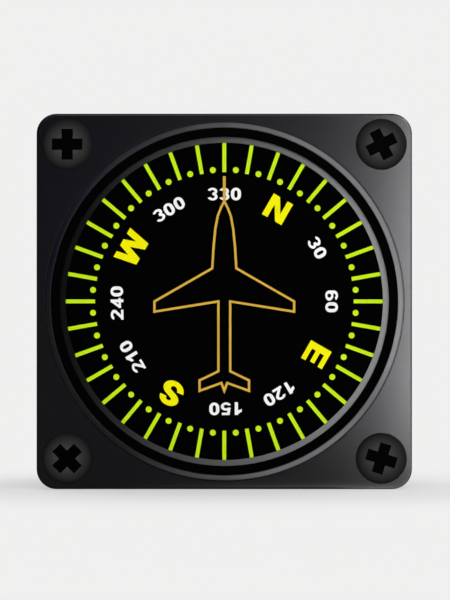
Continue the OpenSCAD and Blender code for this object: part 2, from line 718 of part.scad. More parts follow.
module mounting_screws() color("#2a2a2c") for (i = [0 : 3]) {
  top = screw_rim_h + screw_dome_h;
  // Radius of the sphere that makes the dome
  dome_r = (pow(screw_head_r, 2) + pow(screw_dome_h, 2)) / (2 * screw_dome_h);
  translate([screw_spots[i][0], -flange_t, screw_spots[i][1]]) rotate([90, 0, 0]) difference() {
    union() {
      intersection() {
        cylinder(h = top, r = screw_head_r);
        translate([0, 0, top - dome_r]) sphere(r = dome_r);
      }
      translate([0, 0, -flange_t]) cylinder(h = flange_t + screw_rim_h, r = screw_grip_r);
      translate([0, 0, -flange_t - screw_reach]) cylinder(h = flange_t + screw_reach, r = screw_r);
    }
    rotate(recess_turns[i]) translate([0, 0, top - recess_depth]) linear_extrude(top) {
      square([recess_len, recess_w], center = true);
      square([recess_w, recess_len], center = true);
    }
  }
}

module case_can() color("#26262a") difference() {
  union() {
    tube([0, 0], -can_socket, can_end, can_r, can_inner_r);
    for (s = lug_spots) rod(s, can_end - lug_len, can_end, lug_r);
  }
  screw_holes(lug_spots, can_end - lug_len - over, can_end + over, plate_screw_r);
}

module case_grub_screws() color("#3a3a3c") for (a = [0 : 90 : 270])
  rotate([0, a, 0]) translate([can_r, -can_socket / 2, 0]) rotate([0, 90, 0]) {
    grub_len = flange_w / 2 - can_r - grub_sink;
    difference() {
      cylinder(h = grub_len, r = grub_r);
      translate([0, 0, grub_len / 2]) cylinder(h = grub_len, r = grub_r / 2, $fn = 6);
    }
  }

module rear_gasket() color("#0a0a0a") tube([0, 0], can_end, cover_y, can_r, can_inner_r);

module rear_cover() color("#26262a") difference() {
  turned([[0, cover_y], [can_r, cover_y], [can_r, cover_back - cover_bevel],
    [can_r - cover_bevel, cover_back], [0, cover_back]]);
  screw_holes(lug_spots, cover_y - over, cover_back + over, plate_screw_r);
  screw_holes(pillar_spots, cover_y - over, cover_back + over, movement_screw_r);
  for (side = [-1, 1])
    on_shaft(side) rod([0, 0], cover_y - over, cover_back + over, adjuster_r + adjuster_gap);
}

module cover_screws() color("#3a3a3c")
  rear_driven(lug_spots, cover_back, plate_screw_r, cover_back - can_end + lug_len);

module movement_screws() color("#3a3a3c")
  rear_driven(pillar_spots, cover_back, movement_screw_r,
    cover_back - rear_plate_y + movement_screw_r * thread_ratio);

module rear_standoffs() color("#c9a94f") for (s = pillar_spots)
  tube(s, rear_plate_back, cover_y, standoff_r, movement_screw_r + small_screw_gap);

module rear_plate() color("#b9a15a") difference() {
  movement_disc(rear_plate_y, movement_screw_r);
  screw_holes(comp_pillar_spots, rear_plate_y - over, rear_plate_back + over, fine_screw_r);
  for (side = [-1, 1])
    on_shaft(side) rod([0, 0], rear_plate_y - over, rear_plate_back + over, comp_shaft_r + running_gap);
}

module pillars() color("#c9a94f") for (s = pillar_spots) difference() {
  rod(s, front_plate_back, rear_plate_y, pillar_r);
  screw_holes([s], front_plate_back - over,
    front_plate_back + plate_screw_r * thread_ratio + small_screw_gap, plate_screw_r);
  screw_holes([s], rear_plate_y - movement_screw_r * thread_ratio - small_screw_gap,
    rear_plate_y + over, movement_screw_r);
}

module front_plate() color("#b9a15a") difference() {
  union() {
    movement_disc(front_plate_y, plate_screw_r);
    rod([0, 0], housing_y, housing_back_y, housing_r);
  }
  rod([0, 0], housing_y - over, housing_back_y + over, bush_r + press_gap);
}

module front_plate_screws() color("#3a3a3c")
  front_driven(pillar_spots, front_plate_y, plate_screw_r, plate_t + plate_screw_r * thread_ratio);

module dial_bearing_front() color("#d8b25c") translate([0, housing_y, 0]) bush();

module dial_bearing_rear() color("#d8b25c") translate([0, housing_back_y, 0]) mirror([0, 1, 0]) bush();

module upper_bridge() color("#b9a15a") bridge(upper_bridge_z);

module lower_bridge() color("#b9a15a") difference() {
  bridge(lower_bridge_z);
  for (d = [-1, 1])
    translate([0, rotor_y + d * cup_screw_r, lower_bridge_z - over])
      cylinder(h = bridge_t + 2 * over, r = fine_screw_r + small_screw_gap);
}

module bridge_screws() color("#3a3a3c") {
  length = plate_t + fine_screw_r * thread_ratio;
  front_driven(bridge_spots, front_plate_y, fine_screw_r, length);
  rear_driven(bridge_spots, rear_plate_back, fine_screw_r, length);
}

// A jewel screw reaches through its bridge and its nut
module upper_jewel_screw() color("#8c9096") at_upper_jewel()
  jewel_screw(upper_bridge_z - upper_jewel_z + bridge_t + lock_nut_h + over);

module lower_jewel_screw() color("#8c9096") at_lower_jewel()
  jewel_screw(lower_jewel_top - lower_bridge_z + lock_nut_h + over);

module jewel_lock_nuts() color("#c9a94f")
  for (z = [upper_bridge_z + bridge_t, lower_bridge_z - lock_nut_h])
    translate([0, rotor_y, z]) difference() {
      cylinder(h = lock_nut_h, r = lock_nut_r, $fn = 6);
      translate([0, 0, -over]) cylinder(h = lock_nut_h + 2 * over, r = jewel_screw_r + press_gap);
    }

module pivot_jewels() color("#b0203a") {
  at_upper_jewel() jewel();
  at_lower_jewel() jewel();
}

module damping_cup() color("#b8693c") translate([0, rotor_y, cup_floor_z]) difference() {
  translate([0, 0, -cup_floor]) cylinder(h = cup_floor + cup_depth, r = cup_outer_r);
  cylinder(h = cup_depth + over, r = cup_inner_r);
  translate([0, 0, -cup_floor - over]) cylinder(h = cup_floor + 2 * over, r = jewel_screw_r + cup_hole_gap);
  for (d = [-1, 1])
    translate([0, d * cup_screw_r, -cup_floor - over])
      cylinder(h = cup_floor + 2 * over, r = fine_screw_r + small_screw_gap);
}

module damping_cup_screws() color("#3a3a3c") for (d = [-1, 1])
  translate([0, rotor_y + d * cup_screw_r, cup_floor_z])
    small_screw(fine_screw_r, cup_floor + bridge_t);

// Outline of the compensator plate, narrower at the shafts above than at the pillars below
module comp_plate_outline() {
  wide = comp_pillar_x + comp_plate_edge;
  narrow = comp_pitch_r + comp_plate_edge;
  right = [[wide, comp_pillar_z - comp_plate_edge], [wide, comp_pillar_z + comp_plate_edge / 2],
    [narrow, comp_z + comp_plate_edge]];
  polygon(concat(right, [for (i = [2 : -1 : 0]) [-right[i][0], right[i][1]]]));
}

module compensator_plate() color("#b9a15a") difference() {
  slab(comp_plate_y, comp_plate_t) comp_plate_outline();
  screw_holes(comp_pillar_spots, comp_plate_y - over, comp_plate_back + over, fine_screw_r);
  for (side = [-1, 1])
    on_shaft(side) rod([0, 0], comp_plate_y - over, comp_plate_back + over, comp_shaft_r + running_gap);
}

module compensator_pillars() color("#c9a94f") for (s = comp_pillar_spots)
  tube(s, comp_plate_back, rear_plate_y, comp_pillar_r, fine_screw_r + small_screw_gap);

module compensator_screws() color("#3a3a3c") {
  grip = fine_screw_r * thread_ratio;
  front_driven(comp_pillar_spots, comp_plate_y, fine_screw_r, comp_plate_t + grip);
  rear_driven(comp_pillar_spots, rear_plate_back, fine_screw_r, plate_t + grip);
}

module dial_card() color("#0b0b0c") rod([0, 0], dial_front_y, dial_back_y, dial_r);

module dial_ticks() color("#c2e632") slab(dial_front_y - paint_t, paint_t)
  for (i = [0 : tick_count - 1])
    rotate(rest_heading + i * 360 / tick_count) translate([-tick_w / 2, tick_inner_r])
      square([tick_w, tick_outer_r - tick_inner_r]);

module dial_dots() color("#c2e632") slab(dial_front_y - paint_t, paint_t)
  for (i = [0 : tick_count - 1])
    rotate(rest_heading + (i + 0.5) * 360 / tick_count) translate([0, dot_ring_r]) circle(r = dot_r);

module dial_hub() color("#9a9da2") difference() {
  union() {
    rod([0, 0], dial_back_y, hub_back_y, hub_r);
    rod([0, 0], dial_back_y, hub_back_y + hub_boss_len, hub_boss_r);
  }
  rod([0, 0], dial_back_y - over, hub_back_y + hub_boss_len + over, arbor_r + press_gap);
}

module dial_arbor() color("#c7cace") rod([0, 0], dial_back_y, rotor_y - bevel_toe_back + end_play, arbor_r);

module dial_gear() color("#d0a848") translate([0, rotor_y, 0]) rotate([90, 0, 0]) bevel_gear(arbor_r);

module rotor_staff() color("#c7cace") translate([0, rotor_y, 0]) {
  body_top = upper_pivot_z - pivot_len;
  body_bottom = lower_pivot_z + pivot_len;
  translate([0, 0, body_bottom]) cylinder(h = body_top - body_bottom, r = staff_r);
  translate([0, 0, body_top]) cylinder(h = pivot_len, r1 = staff_r, r2 = pivot_tip_r);
  translate([0, 0, lower_pivot_z]) cylinder(h = pivot_len, r1 = pivot_tip_r, r2 = staff_r);
}

module rotor_gear() color("#d0a848") translate([0, rotor_y, 0]) rotate([180, 0, 180 / bevel_teeth])
  bevel_gear(staff_r);

module magnet_carrier() color("#9a9da2") translate([0, rotor_y, magnet_top_z]) difference() {
  union() {
    cylinder(h = carrier_t, r = carrier_r);
    cylinder(h = carrier_t + carrier_hub_len, r = carrier_hub_r);
  }
  translate([0, 0, -over]) cylinder(h = carrier_t + carrier_hub_len + 2 * over, r = staff_r + press_gap);
}

module rotor_magnets() color("#70747a") translate([0, rotor_y, magnet_bottom_z]) rotate(north_turn)
  for (x = [-1, 1])
    translate([x * magnet_spread / 2 - magnet_w / 2, -magnet_len / 2, 0])
      cube([magnet_w, magnet_len, magnet_h]);

module ns_adjuster() color("#c9a94f") adjuster(-1);

module ns_driver_gear() color("#d0a848")
  comp_gear(-1, ns_layer_y, comp_shaft_r + press_gap, 0, 0);

module ns_driver_magnet() color("#70747a") comp_magnet(-1, ns_layer_y, 0);

module ns_follower_gear() color("#d0a848")
  comp_gear(1, ns_layer_y, comp_shaft_r + running_gap, half_tooth, 0);

module ns_follower_magnet() color("#70747a") comp_magnet(1, ns_layer_y, 0);

module ew_adjuster() color("#c9a94f") adjuster(1);

module ew_driver_gear() color("#d0a848")
  comp_gear(1, ew_layer_y, comp_shaft_r + press_gap, half_tooth, -90);

module ew_driver_magnet() color("#70747a") comp_magnet(1, ew_layer_y, -90);

module ew_follower_gear() color("#d0a848")
  comp_gear(-1, ew_layer_y, comp_shaft_r + running_gap, 0, 90);

module ew_follower_magnet() color("#70747a") comp_magnet(-1, ew_layer_y, 90);

front_flange();
bezel_ring();
lens_gasket();
lens_glass();
dial_mask();
aeroplane_mark();
mounting_screws();
case_can();
case_grub_screws();
rear_gasket();
rear_cover();
cover_screws();
movement_screws();
rear_standoffs();
rear_plate();
pillars();
front_plate();
front_plate_screws();
dial_bearing_front();
dial_bearing_rear();
upper_bridge();
lower_bridge();
bridge_screws();
upper_jewel_screw();
lower_jewel_screw();
jewel_lock_nuts();
pivot_jewels();
damping_cup();
damping_cup_screws();
compensator_plate();
compensator_pillars();
compensator_screws();
dial_card();
dial_ticks();
dial_dots();
dial_hub();
dial_arbor();
dial_gear();
rotor_staff();
rotor_gear();
magnet_carrier();
rotor_magnets();
ns_adjuster();
ns_driver_gear();
ns_driver_magnet();
ns_follower_gear();
ns_follower_magnet();
ew_adjuster();
ew_driver_gear();
ew_driver_magnet();
ew_follower_gear();
ew_follower_magnet();
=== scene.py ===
# %% [markdown]
# # A panel compass, dressed for the camera
# The solids of this compass come from the CAD frame: flange, rings, glass, dial and the whole movement
# behind it are already in the right place, in metres. This lesson gives every piece its finish, paints the
# figures and letters on the dial, cuts threads on the four panel screws and sets up a small studio. The
# dial faces -Y, up is +Z, and the flange's rear face lies on the plane y = 0.

# %% Load the frame
import json
from math import cos, pi, radians, sin

import bmesh
import bpy
from mathutils import Matrix, Vector
from mathutils.geometry import interpolate_bezier


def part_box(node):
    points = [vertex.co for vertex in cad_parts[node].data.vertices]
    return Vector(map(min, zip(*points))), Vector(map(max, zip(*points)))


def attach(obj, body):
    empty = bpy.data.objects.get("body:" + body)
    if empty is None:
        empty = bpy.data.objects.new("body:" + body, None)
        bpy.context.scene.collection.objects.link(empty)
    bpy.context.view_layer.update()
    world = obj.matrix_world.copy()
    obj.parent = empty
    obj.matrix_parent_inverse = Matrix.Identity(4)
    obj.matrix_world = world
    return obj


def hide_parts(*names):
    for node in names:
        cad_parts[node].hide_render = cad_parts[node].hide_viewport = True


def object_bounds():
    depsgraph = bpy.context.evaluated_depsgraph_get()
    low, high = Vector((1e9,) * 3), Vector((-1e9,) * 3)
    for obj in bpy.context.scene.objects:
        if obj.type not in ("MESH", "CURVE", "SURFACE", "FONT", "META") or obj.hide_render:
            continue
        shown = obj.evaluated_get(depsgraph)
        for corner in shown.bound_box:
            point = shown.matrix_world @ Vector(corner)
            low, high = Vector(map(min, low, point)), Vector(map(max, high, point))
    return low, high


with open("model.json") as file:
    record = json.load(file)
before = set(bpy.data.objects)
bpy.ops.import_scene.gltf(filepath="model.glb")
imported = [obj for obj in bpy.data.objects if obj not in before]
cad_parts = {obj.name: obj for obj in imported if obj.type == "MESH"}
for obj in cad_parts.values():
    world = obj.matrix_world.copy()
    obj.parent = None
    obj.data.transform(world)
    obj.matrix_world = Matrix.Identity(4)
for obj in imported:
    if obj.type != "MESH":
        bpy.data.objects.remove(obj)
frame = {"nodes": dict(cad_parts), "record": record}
MM = 0.001
cad_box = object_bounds()
node_object = frame["nodes"]
print("CAD box in mm:", [[round(v / MM, 2) for v in corner] for corner in cad_box])

# %% [markdown]
# ## The camera
# The photograph looks straight at the dial with hardly any perspective, so the camera stands on the dial's
# axis, 0.9 m away, with a long lens. The picture is 450 x 600 pixels and 131.9 mm high at the flange's
# face. On an upright picture the sensor's 36 mm belong to the long side, which gives the lens directly.
# The flange's middle lies 0.15 mm left of the picture's middle and 0.3 mm below it, so the camera is moved
# by that much and needs no shift.

# %% Camera straight in front of the dial
CAMERA_DISTANCE = 0.9
PICTURE_HEIGHT = 131.9 * MM
PICTURE_X, PICTURE_Z = 0.154 * MM, 0.31 * MM
SENSOR = 36.0

flange_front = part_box("front_flange")[0][1]
camera_data = bpy.data.cameras.new("dial_camera")
camera_data.sensor_width = SENSOR
camera_data.lens = SENSOR * CAMERA_DISTANCE / PICTURE_HEIGHT
camera_data.clip_start = 0.01
camera_data.clip_end = 50.0
camera = bpy.data.objects.new("dial_camera", camera_data)
camera.location = (PICTURE_X, flange_front - CAMERA_DISTANCE, PICTURE_Z)
camera.rotation_euler = (pi / 2, 0.0, 0.0)
bpy.context.collection.objects.link(camera)
bpy.context.scene.camera = camera
bpy.context.scene.view_settings.view_transform = "Standard"
print("lens:", round(camera_data.lens, 1), "mm, flange front at y =", round(flange_front / MM, 2), "mm")

# %% [markdown]
# ## Small helpers
# Every finish below is a handful of shader nodes. `put` adds one node, sets its options, and fills its
# inputs with either a plain value or a link from another node, so that a material reads from top to
# bottom. The other node helpers stand for what comes up again and again: products, soft ramps, distances,
# blends of two colours. `new_object` turns a finished bmesh into an object with its finishes.

# %% Helpers: add a node and fill its inputs


def fill(tree, socket, value):
    if isinstance(value, bpy.types.NodeSocket):
        tree.links.new(value, socket)
    else:
        socket.default_value = value


def put(tree, kind, inputs=None, **options):
    made = tree.nodes.new(kind)
    for name, value in options.items():
        setattr(made, name, value)
    for name, value in (inputs or {}).items():
        fill(tree, made.inputs[name], value)
    return made


def maths(tree, operation, first, second=0.0, third=0.0, clamp=False):
    made = put(tree, "ShaderNodeMath", {0: first, 1: second, 2: third}, operation=operation, use_clamp=clamp)
    return made.outputs[0]


def times(tree, first, second):
    return maths(tree, "MULTIPLY", first, second)


def larger(tree, first, second):
    return maths(tree, "MAXIMUM", first, second)


def distance(tree, first, second):
    squares = [maths(tree, "POWER", side, 2.0) for side in (first, second)]
    return maths(tree, "SQRT", maths(tree, "ADD", *squares))


def ramp_between(tree, value, low, high, to_low=0.0, to_high=1.0):
    ends = {"Value": value, "From Min": low, "From Max": high, "To Min": to_low, "To Max": to_high}
    return put(tree, "ShaderNodeMapRange", ends, interpolation_type="SMOOTHSTEP").outputs["Result"]


def blend_colours(tree, mask, first, second):
    return put(tree, "ShaderNodeMix", {0: mask, 6: first, 7: second}, data_type="RGBA").outputs[2]


# %% Helper: an object from a finished bmesh


def new_object(name, bm, *finishes):
    mesh = bpy.data.meshes.new(name)
    bm.to_mesh(mesh)
    bm.free()
    for finish in finishes:
        mesh.materials.append(finish)
    made = bpy.data.objects.new(name, mesh)
    bpy.context.collection.objects.link(made)
    return made


# %% [markdown]
# ## Studio: a pale sheet, a dark room in front, a soft box on the right
# In the photograph the flange is nearly black on the left and fades to grey at its right edge, and both
# grey rings are brightest on the right. One tall soft box just outside the picture, close to the plate and
# to its right, gives that fade on a satin plate. A broad lamp around the camera lights the paint evenly.
# It is left out of the mirrors, as a photographer would flag it off, or the flat glass would show it. The
# pale background is a colour that only the camera, mirrors and glass see: the world adds hardly any light.

# %% Soft lamps
STRIP_EDGE, STRIP_WIDTH, STRIP_HEIGHT = 0.047, 0.06, 0.14
STRIP_AHEAD, STRIP_Z = 0.15, -0.02
DIAL_MIDDLE, CASE_MIDDLE = (0.0, 0.0, 0.0), (0.0, 0.03, 0.0)


def soft_lamp(name, place, target, width, height, watts, in_mirrors=True):
    data = bpy.data.lights.new(name, "AREA")
    data.shape = "RECTANGLE"
    data.size = width
    data.size_y = height
    data.energy = watts
    lamp = bpy.data.objects.new(name, data)
    aim = Vector(target) - Vector(place)
    lamp.matrix_world = Matrix.Translation(place) @ aim.to_track_quat("-Z", "Y").to_matrix().to_4x4()
    lamp.visible_camera = False
    lamp.visible_glossy = in_mirrors
    bpy.context.collection.objects.link(lamp)


strip_x = STRIP_EDGE + STRIP_WIDTH / 2
soft_lamp("right_soft_box", place=(strip_x, flange_front - STRIP_AHEAD, STRIP_Z),
          target=(strip_x, 0.0, STRIP_Z), width=STRIP_WIDTH, height=STRIP_HEIGHT, watts=0.055)
soft_lamp("front_lamp", place=(0.0, -1.15, 0.06), target=DIAL_MIDDLE, width=0.4, height=0.4, watts=12.9,
          in_mirrors=False)
soft_lamp("top_lamp", place=(0.1, -0.2, 0.9), target=(0.0, 0.02, 0.0), width=0.5, height=0.5, watts=3.0,
          in_mirrors=False)
soft_lamp("rear_lamp", place=(-0.5, 0.9, 0.7), target=CASE_MIDDLE, width=1.1, height=1.1, watts=7.0)
soft_lamp("side_lamp", place=(0.8, 0.5, 0.6), target=CASE_MIDDLE, width=0.9, height=0.9, watts=5.0)
print("lamps:", [light.name for light in bpy.data.lights])

# %% World: pale for the eye, dim for the object
PALE, DIM = 0.87, 0.025
PALE_TINT, DIM_TINT = (1.0, 1.0, 0.995, 1.0), (0.56, 0.49, 1.0, 1.0)
FAINT_LEFT, STRONG_RIGHT, STEEPNESS = 0.24, 1.085, 3.2


def mirror_rays(tree, path):
    return larger(tree, path.outputs["Is Glossy Ray"], path.outputs["Is Transmission Ray"])


world = bpy.data.worlds.new("pale_room")
bpy.context.scene.world = world
world.use_nodes = True
room = world.node_tree
room.nodes.clear()
direction = put(room, "ShaderNodeSeparateXYZ", {0: put(room, "ShaderNodeTexCoord").outputs["Generated"]})
faint_left = ramp_between(room, direction.outputs["X"], low=-1.2, high=-0.4, to_high=FAINT_LEFT)
rising = ramp_between(room, direction.outputs["X"], low=-1.0, high=0.75, to_high=STRONG_RIGHT)
to_the_right = maths(room, "ADD", faint_left, maths(room, "POWER", rising, STEEPNESS))
behind_object = ramp_between(room, direction.outputs["Y"], low=-0.75, high=0.1)
mirror_light = times(room, times(room, to_the_right, behind_object), PALE)
path = put(room, "ShaderNodeLightPath")
dim = larger(room, times(room, mirror_rays(room, path), mirror_light), DIM)
strength = larger(room, dim, times(room, path.outputs["Is Camera Ray"], PALE))
tint = blend_colours(room, ramp_between(room, strength, low=DIM, high=0.2), DIM_TINT, PALE_TINT)
backing = put(room, "ShaderNodeBackground", {"Color": tint, "Strength": strength})
put(room, "ShaderNodeOutputWorld", {"Surface": backing.outputs[0]})
print("background strength for the camera:", PALE)

# %% [markdown]
# ## The floor sheet
# The camera sees a pale sheet with a soft shadow under the flange. Mirrors see more of it on the right,
# where it stands for a second reflector: a strip along the flange's foot lights the lower half of the
# outer ring. The last 3 mm before a mirror stay dark, or the plate's lowest edge would glow, except at the
# right corner.

# %% Paper of the floor sheet
PAPER_DARK, PAPER_LIGHT = (0.78, 0.78, 0.775, 1.0), (0.84, 0.84, 0.835, 1.0)

sheet_paper = bpy.data.materials.new("pale_sheet")
sheet_paper.use_nodes = True
paper = sheet_paper.node_tree
paper.nodes.clear()
on_sheet = put(paper, "ShaderNodeTexCoord").outputs["Object"]
spot = put(paper, "ShaderNodeSeparateXYZ", {0: on_sheet})
spot_x, spot_y = spot.outputs["X"], spot.outputs["Y"]
grain = put(paper, "ShaderNodeTexNoise", {"Scale": 900.0, "Detail": 3.0, "Vector": on_sheet})
paper_colour = blend_colours(paper, grain.outputs[0], PAPER_DARK, PAPER_LIGHT)
lit = put(paper, "ShaderNodeBsdfDiffuse", {"Color": paper_colour})
paper_path = put(paper, "ShaderNodeLightPath")
eye = paper_path.outputs["Is Camera Ray"]
mirrored = mirror_rays(paper, paper_path)

# %% Brightness of the sheet in mirrors and for the camera
FOOT_LIGHT, SIDE_LIGHT, LEAST_LIGHT = 1.1, 1.4, 0.055

bright_side = maths(paper, "POWER", ramp_between(paper, spot_x, low=-65 * MM, high=50 * MM), 2.0)
foot_strip = ramp_between(paper, spot_y, low=-20 * MM, high=-8 * MM, to_high=FOOT_LIGHT)
not_touching = ramp_between(paper, paper_path.outputs["Ray Length"], low=1.0 * MM, high=3.1 * MM)
right_corner = ramp_between(paper, spot_x, low=20 * MM, high=34 * MM)
foot_lit = times(paper, foot_strip, larger(paper, not_touching, right_corner))
far_right = ramp_between(paper, spot_x, low=45 * MM, high=100 * MM, to_high=SIDE_LIGHT)
lit_floor = times(paper, bright_side, larger(paper, foot_lit, far_right))
in_mirrors = times(paper, mirrored, larger(paper, lit_floor, LEAST_LIGHT))
brightness = times(paper, maths(paper, "ADD", eye, in_mirrors), PALE)
glow = put(paper, "ShaderNodeEmission", {"Color": PALE_TINT, "Strength": brightness})
away = distance(paper, spot_x, spot_y)
far_share = ramp_between(paper, away, low=20 * MM, high=120 * MM, to_low=0.5)
share = larger(paper, times(paper, eye, far_share), mirrored)
mixed = put(paper, "ShaderNodeMixShader", {0: share, 1: lit.outputs[0], 2: glow.outputs[0]})
put(paper, "ShaderNodeOutputMaterial", {"Surface": mixed.outputs[0]})

# %% The sheet itself
SHEET_RADIUS = 3.0

floor_bm = bmesh.new()
bmesh.ops.create_circle(floor_bm, cap_ends=True, radius=SHEET_RADIUS, segments=96)
bmesh.ops.translate(floor_bm, verts=floor_bm.verts, vec=(0.0, 0.0, cad_box[0][2]))
sheet = new_object("floor_sheet", floor_bm, sheet_paper)
print("floor at z =", round(cad_box[0][2] / MM, 2), "mm")

# %% [markdown]
# ## Shared surface effects
# Most pieces of an instrument share the same few marks: a fine grain from etching or moulding, turning
# rings from the lathe, patches of tarnish, a rubbed rim and a little dust. Each of these is a node group
# with named inputs, built once. A group gives back only masks, and the materials decide what a mask does
# to colour, roughness and bump.

# %% Helper: start a node group with a vector and its own numbers


def mark_group(name, output, **numbers):
    group = bpy.data.node_groups.new(name, "ShaderNodeTree")
    group.interface.new_socket(name="Vector", in_out="INPUT", socket_type="NodeSocketVector")
    for label, value in numbers.items():
        socket = group.interface.new_socket(name=label, in_out="INPUT", socket_type="NodeSocketFloat")
        socket.default_value = value
    group.interface.new_socket(name=output, in_out="OUTPUT", socket_type="NodeSocketFloat")
    return group, group.nodes.new("NodeGroupInput").outputs, group.nodes.new("NodeGroupOutput").inputs


# %% Fine grain: etched metal, moulded rubber, sprayed paint
COARSE_SHARE, SPECK_SHARE, SPECK_DENSITY = 0.7, 0.4, 1.7

fine_grain, given, result = mark_group("fine_grain", "Grain", Size=0.2 * MM)
per_metre = maths(fine_grain, "DIVIDE", 1.0, given["Size"])
coarse = put(fine_grain, "ShaderNodeTexNoise",
             {"Vector": given["Vector"], "Scale": per_metre, "Detail": 4.0, "Roughness": 0.65})
speck_scale = times(fine_grain, per_metre, SPECK_DENSITY)
specks = put(fine_grain, "ShaderNodeTexVoronoi", {"Vector": given["Vector"], "Scale": speck_scale},
             feature="SMOOTH_F1")
coarse_part = times(fine_grain, coarse.outputs[0], COARSE_SHARE)
speck_part = times(fine_grain, specks.outputs["Distance"], SPECK_SHARE)
fine_grain.links.new(maths(fine_grain, "ADD", coarse_part, speck_part), result["Grain"])

# %% Turning rings: grooves around the vector's Z axis
lathe_rings, given, result = mark_group("lathe_rings", "Rings", Pitch=0.2 * MM)
axes = put(lathe_rings, "ShaderNodeSeparateXYZ", {0: given["Vector"]})
radius = distance(lathe_rings, axes.outputs["X"], axes.outputs["Y"])
groove = put(lathe_rings, "ShaderNodeCombineXYZ", {"X": radius, "Y": axes.outputs["Z"]})
grooves_per_metre = maths(lathe_rings, "DIVIDE", 1.0, given["Pitch"])
cut = put(lathe_rings, "ShaderNodeTexNoise",
          {"Vector": groove.outputs[0], "Detail": 3.0, "Roughness": 0.7, "Scale": grooves_per_metre})
lathe_rings.links.new(cut.outputs[0], result["Rings"])

# %% Tarnish: soft patches a few millimetres wide
tarnish, given, result = mark_group("tarnish", "Patches", Size=6 * MM)
patches_per_metre = maths(tarnish, "DIVIDE", 1.0, given["Size"])
clouds = put(tarnish, "ShaderNodeTexNoise", {"Vector": given["Vector"], "Detail": 5.0, "Roughness": 0.6,
             "Distortion": 0.6, "Scale": patches_per_metre})
tarnish.links.new(ramp_between(tarnish, clouds.outputs[0], low=0.35, high=0.68), result["Patches"])

# %% Rubbed rim: how close a point is to the outline of a square face
rubbed_rim, given, result = mark_group("rubbed_rim", "Wear", Reach=40 * MM, Width=1 * MM)
flat = put(rubbed_rim, "ShaderNodeSeparateXYZ", {0: given["Vector"]})
across, upward = (maths(rubbed_rim, "ABSOLUTE", flat.outputs[axis]) for axis in "XZ")
inside = maths(rubbed_rim, "SUBTRACT", given["Reach"], larger(rubbed_rim, across, upward))
inward = maths(rubbed_rim, "DIVIDE", inside, given["Width"])
near = maths(rubbed_rim, "SUBTRACT", 1.0, inward, clamp=True)
chips = put(rubbed_rim, "ShaderNodeTexNoise", {"Vector": given["Vector"], "Scale": 700.0, "Detail": 4.0})
worn = times(rubbed_rim, near, ramp_between(rubbed_rim, chips.outputs[0], low=0.42, high=0.7))
rubbed_rim.links.new(worn, result["Wear"])

# %% Dust: sparse pale specks
LARGEST_DOT = 0.12

dust, given, result = mark_group("dust", "Specks", Amount=0.5)
cells = put(dust, "ShaderNodeTexVoronoi", {"Vector": given["Vector"], "Scale": 420.0})
dot_size = times(dust, given["Amount"], LARGEST_DOT)
speck = ramp_between(dust, cells.outputs["Distance"], low=0.02, high=dot_size, to_low=1.0, to_high=0.0)
dust.links.new(speck, result["Specks"])
print("effects:", [group.name for group in bpy.data.node_groups])

# %% [markdown]
# ## Finishes
# A finish starts from the Principled shader. `start_finish` opens a material and hands out its tree, its
# shader and the piece's own coordinates. `laid_along` turns these so that the pattern's Z axis runs along
# the piece's axis. `metal_finish` then covers the plain machined metals: two tones mixed by tarnish,
# roughness that follows the marks, and a bump from grain or from turning rings. Special pieces get their
# own recipe further down.

# %% Helpers: open a finish, add marks, a bump and the shader's values
ALONG_Y, ALONG_Z = (pi / 2, 0.0, 0.0), (0.0, 0.0, 0.0)
# the part of a mask's range over which the roughness changes
GRAIN_SPAN, LINE_SPAN, METAL_SPAN, FULL_SPAN = (0.2, 0.9), (0.3, 0.7), (0.3, 0.75), (0.0, 1.0)


def start_finish(name):
    finish = bpy.data.materials.new(name)
    finish.use_nodes = True
    tree = finish.node_tree
    return finish, tree, tree.nodes["Principled BSDF"], put(tree, "ShaderNodeTexCoord").outputs["Object"]


def laid_along(tree, where, axis=ALONG_Y):
    return put(tree, "ShaderNodeMapping", {"Vector": where, "Rotation": axis}).outputs[0]


def marks(tree, group, **inputs):
    return put(tree, "ShaderNodeGroup", inputs, node_tree=group).outputs[0]


def rougher(tree, mask, span, smooth, rough):
    return ramp_between(tree, mask, *span, to_low=smooth, to_high=rough)


def bump(tree, shader, height, depth):
    made = put(tree, "ShaderNodeBump", {"Height": height, "Distance": depth, "Strength": 1.0})
    tree.links.new(made.outputs[0], shader.inputs["Normal"])


def feed(tree, shader, **values):
    for name, value in values.items():
        fill(tree, shader.inputs[name.replace("_", " ")], value)


# %% Machined metals of the movement
LINE_SHARE, PATCH_SHARE = 0.45, 0.6
METAL_DEPTH = 0.006 * MM


def metal_finish(name, bright, dull, smooth, rough, rings=True, pitch=0.12 * MM, axis=ALONG_Y):
    finish, tree, shader, where = start_finish(name)
    patches = marks(tree, tarnish, Vector=where, Size=5 * MM)
    if rings:
        lines = marks(tree, lathe_rings, Vector=laid_along(tree, where, axis), Pitch=pitch)
    else:
        lines = marks(tree, fine_grain, Vector=where, Size=pitch)
    tone = maths(tree, "MULTIPLY_ADD", lines, LINE_SHARE, times(tree, patches, PATCH_SHARE))
    feed(tree, shader, Base_Color=blend_colours(tree, tone, bright, dull), Metallic=1.0,
         Roughness=rougher(tree, lines, METAL_SPAN, smooth, rough))
    bump(tree, shader, lines, METAL_DEPTH)
    return finish


